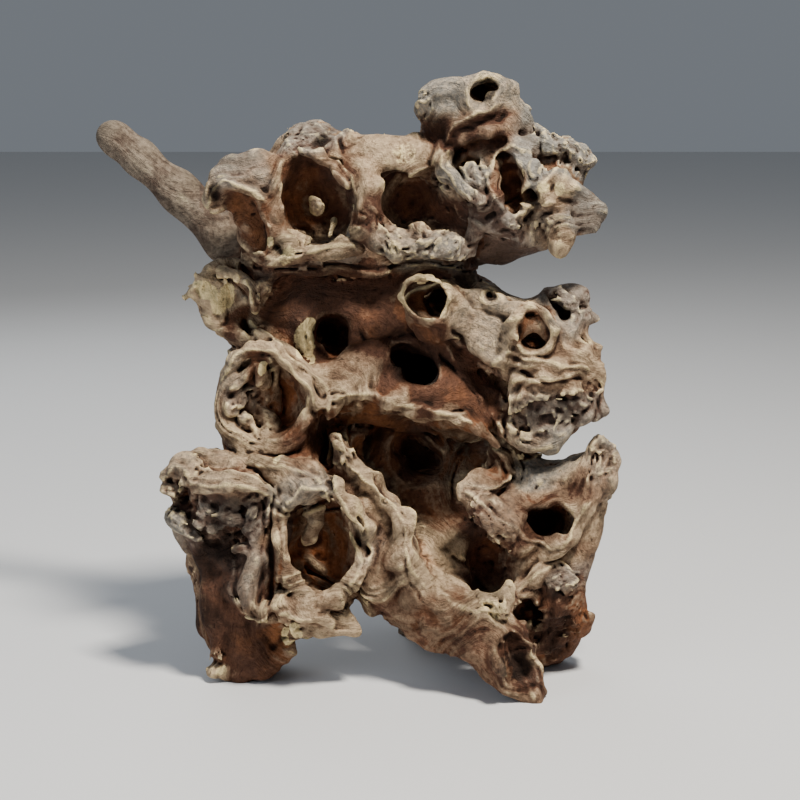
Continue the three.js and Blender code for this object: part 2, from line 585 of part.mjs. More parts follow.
// The forks where the wood is parted, each as an outline of pixels, clockwise, between two
// depths. They are taken off in this order, and what is left is the trunk wall.
const forks = {
  "long_branch": { outline: [[70, 150], [120, 95], [268, 222], [218, 282]], near: 6, far: 120 },
  "crown_knob": {
    outline: [
      [395, 50], [560, 50], [545, 117], [434, 142], [400, 128],
    ],
    near: -200,
    far: 200,
  },
  "crown": { outline: [[150, 40], [640, 40], [640, 270], [150, 257]], near: -200, far: 200 },
  "right_arm": {
    outline: [
      [462, 250], [640, 250], [640, 405], [562, 457], [505, 448],
    ],
    near: -200,
    far: 200,
  },
  "left_foot": {
    outline: [
      [130, 455], [300, 455], [330, 478], [368, 545], [368, 600], [362, 650], [300, 720], [130, 720],
    ],
    near: -200,
    far: 200,
  },
  "front_foot": {
    outline: [
      [350, 600], [420, 577], [515, 590], [575, 760], [350, 760],
    ],
    near: -200,
    far: -50,
  },
  "right_foot": { outline: [[502, 440], [640, 400], [640, 760], [506, 760]], near: -200, far: 200 },
  "back_foot": { outline: [[360, 578], [540, 578], [540, 760], [360, 760]], near: 20, far: 200 },
  "hollow_wall": {
    outline: [
      [316, 436], [345, 424], [500, 442], [560, 760], [300, 760],
    ],
    near: -200,
    far: 200,
  },
};

// Colours read from the photograph: grey-tan where it has weathered, brown where it has not.
const woods = {
  "long_branch": { color: 0x8d7a66, roughness: 0.82, metalness: 0 },
  "crown_knob": { color: 0x7d6a58, roughness: 0.85, metalness: 0 },
  "crown": { color: 0x7a6654, roughness: 0.86, metalness: 0 },
  "right_arm": { color: 0x8a7560, roughness: 0.85, metalness: 0 },
  "left_foot": { color: 0x75543d, roughness: 0.86, metalness: 0 },
  "right_foot": { color: 0x73543f, roughness: 0.86, metalness: 0 },
  "back_foot": { color: 0x5d4536, roughness: 0.88, metalness: 0 },
  "front_foot": { color: 0x8a6b4e, roughness: 0.85, metalness: 0 },
  "hollow_wall": { color: 0x6e4a33, roughness: 0.87, metalness: 0 },
  "trunk_wall": { color: 0x664838, roughness: 0.86, metalness: 0 },
};

// The picture's rays: a pixel and a depth give the place of a station in millimetres.
const focalLength = viewDistance / pixelSize;
const sight = new THREE.Vector3(0, Math.cos(viewElevation), -Math.sin(viewElevation));
const upright = new THREE.Vector3(0, Math.sin(viewElevation), Math.cos(viewElevation));
const eye = new THREE.Vector3(0, 0, middleHeight).addScaledVector(sight, -viewDistance);

function placeOf([column, row, depth]) {
  const ray = sight.clone();
  ray.x += (column - pictureMiddle) / focalLength;
  ray.addScaledVector(upright, (pictureMiddle - row) / focalLength);
  return eye.clone().addScaledVector(ray, (depth - eye.y) / ray.y);
}

// Slow waves that carry every surface a few millimetres aside, so that nothing stays round.
// They hardly touch the long branch, which is straight.
const branchEnds = [[112, 136, 46], [232, 240, 32]];
const waves = [
  { along: [0.061, 0.047, 0.038], push: [0.9, 0.4, 1.0], reach: 1.6, phase: 0.7 },
  { along: [-0.052, 0.066, 0.083], push: [1.0, 0.8, -0.5], reach: 1.4, phase: 2.1 },
  { along: [0.118, -0.074, 0.101], push: [-0.5, 1.0, 0.8], reach: 1.2, phase: 4.4 },
  { along: [0.143, 0.162, -0.129], push: [0.8, 0.5, 0.9], reach: 0.9, phase: 1.3 },
  { along: [-0.231, 0.187, 0.204], push: [0.7, -0.9, 0.6], reach: 0.7, phase: 5.2 },
];

function carryAside(point) {
  const start = point.clone();
  const branch = new THREE.Line3(placeOf(branchEnds[0]), placeOf(branchEnds[1]));
  const toBranch = branch.closestPointToPoint(start, true, new THREE.Vector3()).distanceTo(start);
  const share = 0.15 + 0.85 * THREE.MathUtils.smoothstep(toBranch, 20, 45);
  for (const { along, push, reach, phase } of waves) {
    const swing = share * reach * Math.sin(start.dot(new THREE.Vector3(...along)) + phase);
    point.addScaledVector(new THREE.Vector3(...push), swing);
  }
  return point;
}

// The depth field: the distance to the wood's surface at each grid point, negative inside.
const cellSide = gridSide / gridCells;
const gridLow = gridCentre.clone().subScalar(gridSide / 2);
const field = new Float32Array(gridCells ** 3).fill(farAway);

function softMin(a, b, blend) {
  const overlap = Math.max(blend - Math.abs(a - b), 0) / blend;
  return Math.min(a, b) - (overlap * overlap * blend) / 4;
}

function eachCellNear(segment, change) {
  const reach = Math.max(segment.radiusA, segment.radiusB) + farAway;
  const box = new THREE.Box3().setFromPoints([segment.a, segment.b]).expandByScalar(reach);
  const low = box.min.sub(gridLow).divideScalar(cellSide).ceil().clampScalar(0, gridCells - 1);
  const high = box.max.sub(gridLow).divideScalar(cellSide).floor().clampScalar(0, gridCells - 1);
  const axis = segment.b.clone().sub(segment.a);
  const axisSquared = Math.max(axis.lengthSq(), 1e-6);
  for (let k = low.z; k <= high.z; k++) {
    const dz = gridLow.z + k * cellSide - segment.a.z;
    for (let j = low.y; j <= high.y; j++) {
      const dy = gridLow.y + j * cellSide - segment.a.y;
      for (let i = low.x; i <= high.x; i++) {
        const dx = gridLow.x + i * cellSide - segment.a.x;
        const share = THREE.MathUtils.clamp((dx * axis.x + dy * axis.y + dz * axis.z) / axisSquared, 0, 1);
        const away = Math.hypot(dx - share * axis.x, dy - share * axis.y, dz - share * axis.z);
        const distance = away - THREE.MathUtils.lerp(segment.radiusA, segment.radiusB, share);
        const index = (k * gridCells + j) * gridCells + i;
        field[index] = change(field[index], distance);
      }
    }
  }
}

function applyForms(forms, change) {
  for (const stations of Object.values(forms).flat()) {
    for (let i = 0; i + 1 < stations.length; i++) {
      const segment = { a: placeOf(stations[i]), b: placeOf(stations[i + 1]) };
      segment.radiusA = stations[i][3];
      segment.radiusB = stations[i + 1][3];
      eachCellNear(segment, change);
    }
  }
}

applyForms(swellings, (wood, form) => softMin(wood, form, blends.swelling));
applyForms(ridges, (wood, form) => softMin(wood, form, blends.ridge));
applyForms(hollows, (wood, form) => -softMin(-wood, form, blends.hollow));
applyForms(knots, (wood, form) => softMin(wood, form, blends.knot));

// The surface of the field, thinned to the triangles that its shape needs.
function surfaceOfField() {
  const cubes = new MarchingCubes(gridCells, new THREE.MeshStandardMaterial(), false, false, 400000);
  cubes.isolation = 0;
  for (let i = 0; i < field.length; i++) cubes.field[i] = -field[i];
  cubes.update();
  const corners = cubes.geometry.drawRange.count;
  const positions = cubes.geometry.attributes.position.array.slice(0, corners * 3);
  const surface = new THREE.BufferGeometry();
  surface.setAttribute("position", new THREE.BufferAttribute(positions, 3));
  surface.translate(1, 1, 1).scale(gridSide / 2, gridSide / 2, gridSide / 2);
  surface.translate(...gridLow);
  return mergeVertices(surface, 1e-3);
}

function carrySurfaceAside(surface) {
  const places = surface.attributes.position;
  for (let i = 0; i < places.count; i++) {
    places.setXYZ(i, ...carryAside(new THREE.Vector3().fromBufferAttribute(places, i)));
  }
  return surface;
}

// Each triangle pair on an edge is given up in turn, cheapest first, until few are left. An
// edge goes only where the two ends share just two neighbours, which keeps the skin closed.
function thinned(surface, target) {
  const places = [];
  const around = [];
  const attribute = surface.attributes.position;
  for (let i = 0; i < attribute.count; i++) {
    places.push(new THREE.Vector3().fromBufferAttribute(attribute, i));
    around.push(new Set());
  }
  const corners = surface.index.array;
  const faces = [];
  const flatness = places.map(() => new Float64Array(10));
  for (let i = 0; i < corners.length; i += 3) {
    const face = [corners[i], corners[i + 1], corners[i + 2]];
    if (new Set(face).size < 3) continue;
    for (const corner of face) around[corner].add(faces.length);
    addFlatness(face, places, flatness);
    faces.push(face);
  }
  let left = faces.length;
  const version = new Uint32Array(places.length);
  const queue = new Queue();
  const offer = (a, b) => {
    const sum = flatness[a].map((value, index) => value + flatness[b][index]);
    const spot = bestSpot(sum, places[a], places[b]);
    const cost = costAt(sum, spot) + 1e-3 * places[a].distanceToSquared(places[b]);
    queue.push({ cost, a, b, spot, stamp: version[a] + version[b] });
  };
  for (const face of faces) {
    for (let i = 0; i < 3; i++) {
      const [a, b] = [face[i], face[(i + 1) % 3]];
      if (a < b) offer(a, b);
    }
  }
  while (left > target && queue.size() > 0) {
    const { a, b, spot, stamp } = queue.pop();
    if (!around[a].size || !around[b].size || stamp !== version[a] + version[b]) continue;
    if (!mayJoin(a, b, spot, faces, around, places)) continue;
    for (const index of [...around[b]]) {
      const face = faces[index];
      if (face.includes(a)) {
        for (const corner of face) around[corner].delete(index);
        faces[index] = null;
        left -= 1;
      } else {
        face[face.indexOf(b)] = a;
        around[a].add(index);
      }
    }
    around[b].clear();
    places[a].copy(spot);
    flatness[b].forEach((value, index) => (flatness[a][index] += value));
    version[a] += version[b] + 1;
    for (const next of neighboursOf(a, faces, around)) offer(a, next);
  }
  return geometryFrom(places, faces.filter(Boolean));
}

function addFlatness(face, places, flatness) {
  const [a, b, c] = face.map((corner) => places[corner]);
  const normal = b.clone().sub(a).cross(c.clone().sub(a));
  const area = normal.length() / 2;
  normal.normalize();
  const { x, y, z } = normal;
  const w = -normal.dot(a);
  const terms = [x * x, x * y, x * z, x * w, y * y, y * z, y * w, z * z, z * w, w * w];
  for (const corner of face) terms.forEach((value, index) => (flatness[corner][index] += area * value));
}

function costAt(q, { x, y, z }) {
  const squares = q[0] * x * x + q[4] * y * y + q[7] * z * z + q[9];
  return squares + 2 * (q[1] * x * y + q[2] * x * z + q[3] * x + q[5] * y * z + q[6] * y + q[8] * z);
}

function bestSpot(q, a, b) {
  const matrix = new THREE.Matrix3().set(q[0], q[1], q[2], q[1], q[4], q[5], q[2], q[5], q[7]);
  const middle = a.clone().add(b).multiplyScalar(0.5);
  const size = Math.max(q[0] + q[4] + q[7], 1e-9);
  if (Math.abs(matrix.determinant()) < 1e-4 * size ** 3) return middle;
  const spot = new THREE.Vector3(-q[3], -q[6], -q[8]).applyMatrix3(matrix.invert());
  return spot.distanceTo(middle) < a.distanceTo(b) ? spot : middle;
}

function neighboursOf(corner, faces, around) {
  const found = new Set();
  for (const index of around[corner]) for (const other of faces[index]) found.add(other);
  found.delete(corner);
  return found;
}

function mayJoin(a, b, spot, faces, around, places) {
  const besideA = neighboursOf(a, faces, around);
  const shared = [...neighboursOf(b, faces, around)].filter((corner) => besideA.has(corner));
  if (shared.length !== 2) return false;
  for (const [moved, other] of [[a, b], [b, a]]) {
    for (const index of around[moved]) {
      const face = faces[index];
      if (face.includes(other)) continue;
      const before = normalOf(face.map((corner) => places[corner]));
      const after = normalOf(face.map((corner) => (corner === moved ? spot : places[corner])));
      if (before.dot(after) < 0.2) return false;
    }
  }
  return true;
}

function normalOf([a, b, c]) {
  return b.clone().sub(a).cross(c.clone().sub(a)).normalize();
}

function geometryFrom(places, faces) {
  const used = new Map();
  const flat = [];
  const index = faces.flat().map((corner) => {
    if (!used.has(corner)) {
      used.set(corner, used.size);
      flat.push(...places[corner].toArray());
    }
    return used.get(corner);
  });
  const geometry = new THREE.BufferGeometry();
  geometry.setAttribute("position", new THREE.Float32BufferAttribute(flat, 3));
  geometry.setIndex(index);
  return geometry;
}

// A queue that always gives back its cheapest entry.
class Queue {
  entries = [];

  size() {
    return this.entries.length;
  }

  push(entry) {
    const { entries } = this;
    let spot = entries.push(entry) - 1;
    while (spot > 0) {
      const above = (spot - 1) >> 1;
      if (entries[above].cost <= entry.cost) break;
      entries[spot] = entries[above];
      spot = above;
    }
    entries[spot] = entry;
  }

  pop() {
    const { entries } = this;
    const first = entries[0];
    const last = entries.pop();
    if (entries.length === 0) return first;
    let spot = 0;
    for (;;) {
      let below = 2 * spot + 1;
      if (below >= entries.length) break;
      if (below + 1 < entries.length && entries[below + 1].cost < entries[below].cost) below += 1;
      if (entries[below].cost >= last.cost) break;
      entries[spot] = entries[below];
      spot = below;
    }
    entries[spot] = last;
    return first;
  }
}

const wasm = await Module();
wasm.setup();

function solidOf(geometry) {
  const bare = geometry.clone();
  bare.deleteAttribute("normal");
  bare.deleteAttribute("uv");
  const merged = mergeVertices(bare, 1e-4);
  return new wasm.Manifold(
    new wasm.Mesh({
      numProp: 3,
      vertProperties: new Float32Array(merged.attributes.position.array),
      triVerts: new Uint32Array(merged.index.array),
    }),
  );
}

function geometryOf(solid) {
  const mesh = solid.getMesh();
  const geometry = new THREE.BufferGeometry();
  geometry.setAttribute("position", new THREE.BufferAttribute(mesh.vertProperties, 3));
  geometry.setIndex(new THREE.BufferAttribute(mesh.triVerts, 1));
  return geometry;
}

function largestOf(solid) {
  return solid.decompose().sort((a, b) => b.volume() - a.volume())[0];
}

// The space of a fork: its outline seen from the camera, from its near to its far depth.
function forkSpace({ outline, near, far }, wider) {
  const corners = outline.map(([column, row], i) => {
    const [before, after] = [outline.at(i - 1), outline[(i + 1) % outline.length]];
    const inward = new THREE.Vector2(column - before[0], row - before[1]).normalize();
    const onward = new THREE.Vector2(after[0] - column, after[1] - row).normalize();
    const shift = (wider / pixelSize) / (1 + inward.dot(onward));
    return [column + shift * (inward.y + onward.y), row - shift * (inward.x + onward.x)];
  });
  const points = corners.flatMap(([column, row]) => [
    placeOf([column, row, near - wider]),
    placeOf([column, row, far + wider]),
  ]);
  return solidOf(new ConvexGeometry(points));
}

const floor = solidOf(new THREE.BoxGeometry(800, 800, 200).translate(0, 0, -100));
const skin = thinned(carrySurfaceAside(surfaceOfField()), triangleTarget);
let rest = largestOf(solidOf(skin).subtract(floor));

const driftwood = new THREE.Group();
driftwood.position.set(-middleOffset.x, -middleOffset.y, 0);

function addPiece(name, solid) {
  const material = new THREE.MeshStandardMaterial(woods[name]);
  const mesh = new THREE.Mesh(geometryOf(solid), material);
  mesh.name = name;
  driftwood.add(mesh);
}

for (const [name, fork] of Object.entries(forks)) {
  addPiece(name, largestOf(rest.intersect(forkSpace(fork, 0))));
  rest = largestOf(rest.subtract(forkSpace(fork, forkGap)));
}
addPiece("trunk_wall", rest);

export default driftwood;
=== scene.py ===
# Savanna driftwood: the weathered surface of one grown root burl, dressed over its ten solids.
# The forms are the same swellings, ridges, hollows and knots as in the solids, in photograph pixels,
# worked out on a finer grid, with crust, grain, cracks and pits on top.
import math
import time

import bmesh
import bpy
import numpy as np
import openvdb
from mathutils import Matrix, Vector


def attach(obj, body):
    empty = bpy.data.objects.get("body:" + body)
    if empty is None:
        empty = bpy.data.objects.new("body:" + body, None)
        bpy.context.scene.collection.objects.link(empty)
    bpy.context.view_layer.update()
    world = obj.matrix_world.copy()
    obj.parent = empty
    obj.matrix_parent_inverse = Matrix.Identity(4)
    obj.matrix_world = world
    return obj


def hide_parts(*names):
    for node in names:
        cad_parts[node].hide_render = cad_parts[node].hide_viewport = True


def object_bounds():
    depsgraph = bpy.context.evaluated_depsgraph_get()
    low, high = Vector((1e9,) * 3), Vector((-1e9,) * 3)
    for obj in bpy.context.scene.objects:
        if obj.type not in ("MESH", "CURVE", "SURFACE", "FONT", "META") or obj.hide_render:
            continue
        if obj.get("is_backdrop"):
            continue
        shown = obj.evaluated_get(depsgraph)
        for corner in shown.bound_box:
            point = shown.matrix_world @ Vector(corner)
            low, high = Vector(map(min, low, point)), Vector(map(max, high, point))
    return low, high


started = time.time()
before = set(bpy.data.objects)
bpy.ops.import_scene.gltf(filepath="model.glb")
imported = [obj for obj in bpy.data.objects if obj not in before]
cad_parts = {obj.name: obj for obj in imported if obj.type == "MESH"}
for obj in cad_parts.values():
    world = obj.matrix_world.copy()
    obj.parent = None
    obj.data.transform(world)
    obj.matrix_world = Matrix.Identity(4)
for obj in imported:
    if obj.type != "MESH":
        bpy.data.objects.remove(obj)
cadBox = [list(corner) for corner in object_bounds()]
print("frame loaded", sorted(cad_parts))

# The picture's rays: a column, a row and a depth in millimetres give a place on the wood.
picture = {
    "pixel": 0.8,  # millimetres in one pixel at the middle of the wood
    "distance": 1600,
    "elevation": math.radians(11),
    "height": 213,  # of the point in the middle of the picture
    "middle": 400,
    "toOrigin": (35.6, 21.9, 0),  # from the picture's middle to the row's origin
}
focalLength = picture["distance"] / picture["pixel"]
sight = np.array([0, math.cos(picture["elevation"]), -math.sin(picture["elevation"])])
upright = np.array([0, math.sin(picture["elevation"]), math.cos(picture["elevation"])])
eye = np.array([0, 0, picture["height"]]) - picture["distance"] * sight

# The whole surface: how finely it is worked out and how softly the forms run together.
surface = {
    "cell": 1.6,  # millimetres
    "low": (-250, -132, -6),
    "high": (192, 112, 492),
    "away": 40,  # what the field says far from the wood
    "bandWidth": 6,  # the relief reaches this far to either side of the surface
    "swelling": 12,  # how softly each kind of form runs into what is there
    "ridge": 6,
    "hollow": 3.5,
    "knot": 5,
}

# Each form is a run of stations (column, row, depth, radius), with depth behind the middle plane
# and radius in millimetres. The wood thickens and bends evenly between them.
swellings = {
    "trunk wall": [
        [(258, 284, 18, 20), (300, 282, 28, 32), (350, 284, 32, 34), (400, 287, 32, 34),
         (450, 292, 24, 28), (478, 302, 15, 20)],
        [(262, 320, 10, 20), (310, 325, 20, 34), (360, 330, 24, 38), (410, 335, 22, 38),
         (460, 345, 15, 34)],
        [(255, 352, 5, 20), (300, 372, 5, 28), (350, 380, 0, 30), (400, 385, -2, 32), (450, 395, -5, 34),
         (492, 402, -5, 26)],
        [(330, 381, -25, 22), (380, 376, -29, 24), (430, 389, -37, 24), (474, 408, -41, 22)],
    ],
    "hollow's back": [
        [(330, 430, 26, 24), (385, 450, 46, 28), (440, 465, 48, 30), (492, 476, 26, 30)],
        [(400, 490, 46, 26), (445, 535, 40, 30), (440, 580, 28, 30)],
        [(300, 425, 0, 22), (305, 465, -8, 22), (318, 500, -14, 22)],
    ],
    "left bowl": [
        [(260, 390, -16, 32), (267, 404, -16, 36), (268, 425, -14, 33), (262, 445, -14, 25)],
    ],
    "tube knot": [
        [(452, 332, -10, 26), (440, 313, -45, 21), (425, 298, -76, 16.5)],
    ],
    "left flange": [
        [(250, 300, 10, 22), (226, 298, 2, 19), (207, 297, -6, 11), (195, 297, -10, 5)],
        [(212, 318, -6, 9), (230, 330, -8, 10), (242, 334, -8, 12)],
    ],
    "crown": [
        [(345, 168, 0, 18), (395, 174, 4, 20), (440, 174, 0, 22)],
        [(350, 216, 4, 32), (400, 216, 10, 38), (450, 222, 4, 34)],
        [(345, 156, -30, 10), (380, 161, -38, 14), (412, 162, -40, 14), (438, 158, -36, 11)],
        [(300, 244, 10, 16), (345, 242, 10, 18), (400, 240, 8, 22), (450, 246, 2, 20)],
    ],
    "crown cup": [
        [(306, 160, -8, 26), (318, 185, -4, 42), (308, 215, -4, 40), (338, 226, -6, 36)],
        [(290, 184, -28, 20), (262, 180, -38, 16), (240, 179, -44, 14), (227, 185, -47, 11),
         (220, 194, -48, 7), (217, 204, -48, 4)],
        [(276, 204, -24, 17), (269, 228, -18, 16), (265, 250, -8, 16)],
        [(246, 196, -38, 11), (256, 214, -34, 11), (263, 236, -28, 12)],
    ],
    "crown knob": [
        [(446, 148, -14, 16), (450, 128, -22, 17), (478, 122, -32, 18), (506, 124, -34, 15)],
        [(428, 106, -36, 8), (440, 103, -38, 12), (462, 101, -40, 13), (486, 103, -42, 14),
         (504, 117, -38, 13)],
    ],
    "crown burl": [
        [(468, 182, -16, 32), (500, 190, -22, 42), (530, 192, -24, 38), (552, 176, -28, 23),
         (572, 160, -32, 13), (587, 162, -34, 7)],
        [(485, 225, -14, 28), (515, 216, -20, 30), (545, 212, -30, 22)],
        [(552, 208, -50, 14), (572, 211, -56, 14), (582, 213, -57, 14)],
        [(543, 195, -62, 6), (556, 198, -64, 6), (571, 194, -66, 6)],
        [(549, 177, -66, 4), (563, 175, -72, 2)],
    ],
    "long branch": [
        [(300, 250, 20, 22), (262, 248, 28, 20), (229, 238, 32, 18.5), (180, 193, 38, 14.5),
         (140, 158, 42, 12.5), (116, 139, 45, 11.5), (112, 136, 46, 11)],
    ],
    "right arm": [
        [(458, 310, -18, 20), (480, 325, -30, 27), (512, 338, -38, 29), (545, 348, -42, 29),
         (562, 372, -42, 28), (552, 400, -42, 26), (536, 424, -40, 18)],
        [(540, 318, -38, 16), (560, 306, -36, 13), (572, 304, -36, 11), (580, 316, -34, 7),
         (591, 319, -32, 3)],
        [(520, 404, -50, 15), (545, 396, -56, 17), (572, 386, -56, 17), (588, 398, -48, 12)],
        [(560, 345, -50, 18), (578, 362, -52, 15), (588, 374, -50, 12)],
    ],
    "left foot": [
        [(185, 475, -54, 10), (208, 481, -50, 19), (240, 488, -44, 30), (285, 500, -40, 32),
         (315, 520, -42, 34)],
        [(318, 535, -46, 40), (318, 566, -46, 38)],
        [(227, 515, -42, 31), (237, 560, -36, 35), (248, 605, -36, 37), (247, 640, -42, 31),
         (244, 658, -46, 24)],
        [(262, 560, -40, 30), (280, 600, -44, 28), (300, 605, -48, 26), (323, 614, -62, 14),
         (337, 622, -73, 8), (352, 630, -78, 5)],
        [(262, 515, -62, 17), (266, 555, -64, 17), (266, 600, -66, 16)],
        [(270, 478, -66, 15), (300, 482, -76, 13), (322, 484, -84, 8)],
        [(285, 455, -30, 20), (290, 480, -35, 24)],
        [(190, 500, -50, 12), (194, 520, -50, 12), (204, 535, -46, 15)],
    ],
    "front foot": [
        [(352, 445, -26, 14), (358, 480, -44, 18), (374, 512, -54, 22), (382, 550, -58, 24),
         (396, 584, -58, 22)],
        [(400, 465, 22, 38), (435, 490, 22, 42), (445, 535, 6, 44), (442, 572, -18, 42)],
        [(396, 592, -56, 20), (428, 606, -68, 24), (462, 618, -82, 26), (490, 638, -94, 25),
         (510, 662, -102, 19), (523, 688, -108, 12), (531, 704, -110, 8)],
        [(506, 452, -30, 11), (508, 485, -26, 14), (506, 530, -26, 18), (512, 570, -45, 20),
         (505, 605, -74, 20)],
    ],
    "right foot": [
        [(518, 480, -28, 24), (553, 498, -34, 24), (586, 476, -38, 17), (606, 458, -42, 9)],
        [(478, 496, -62, 9), (496, 520, -58, 19), (530, 514, -42, 30), (562, 508, -36, 28),
         (590, 496, -28, 14)],
        [(570, 530, -34, 22), (562, 562, -40, 22), (554, 592, -46, 22), (556, 616, -30, 23),
         (547, 640, -24, 17), (542, 656, -20, 13)],
        [(530, 590, -40, 20), (530, 618, -34, 19), (540, 640, -28, 16)],
    ],
    "back foot": [
        [(440, 560, 40, 30), (432, 600, 52, 24), (428, 625, 62, 20), (424, 642, 70, 16)],
    ],
    "back": [
        [(330, 300, 46, 18), (345, 350, 50, 18), (362, 400, 46, 18), (372, 440, 52, 16)],
        [(420, 300, 46, 14), (430, 360, 44, 16), (436, 420, 44, 22), (440, 470, 56, 18)],
        [(300, 190, 22, 16), (340, 180, 34, 14), (400, 182, 40, 14), (470, 190, 18, 20)],
        [(240, 500, -14, 18), (262, 560, -8, 16), (280, 600, -16, 14)],
    ],
}

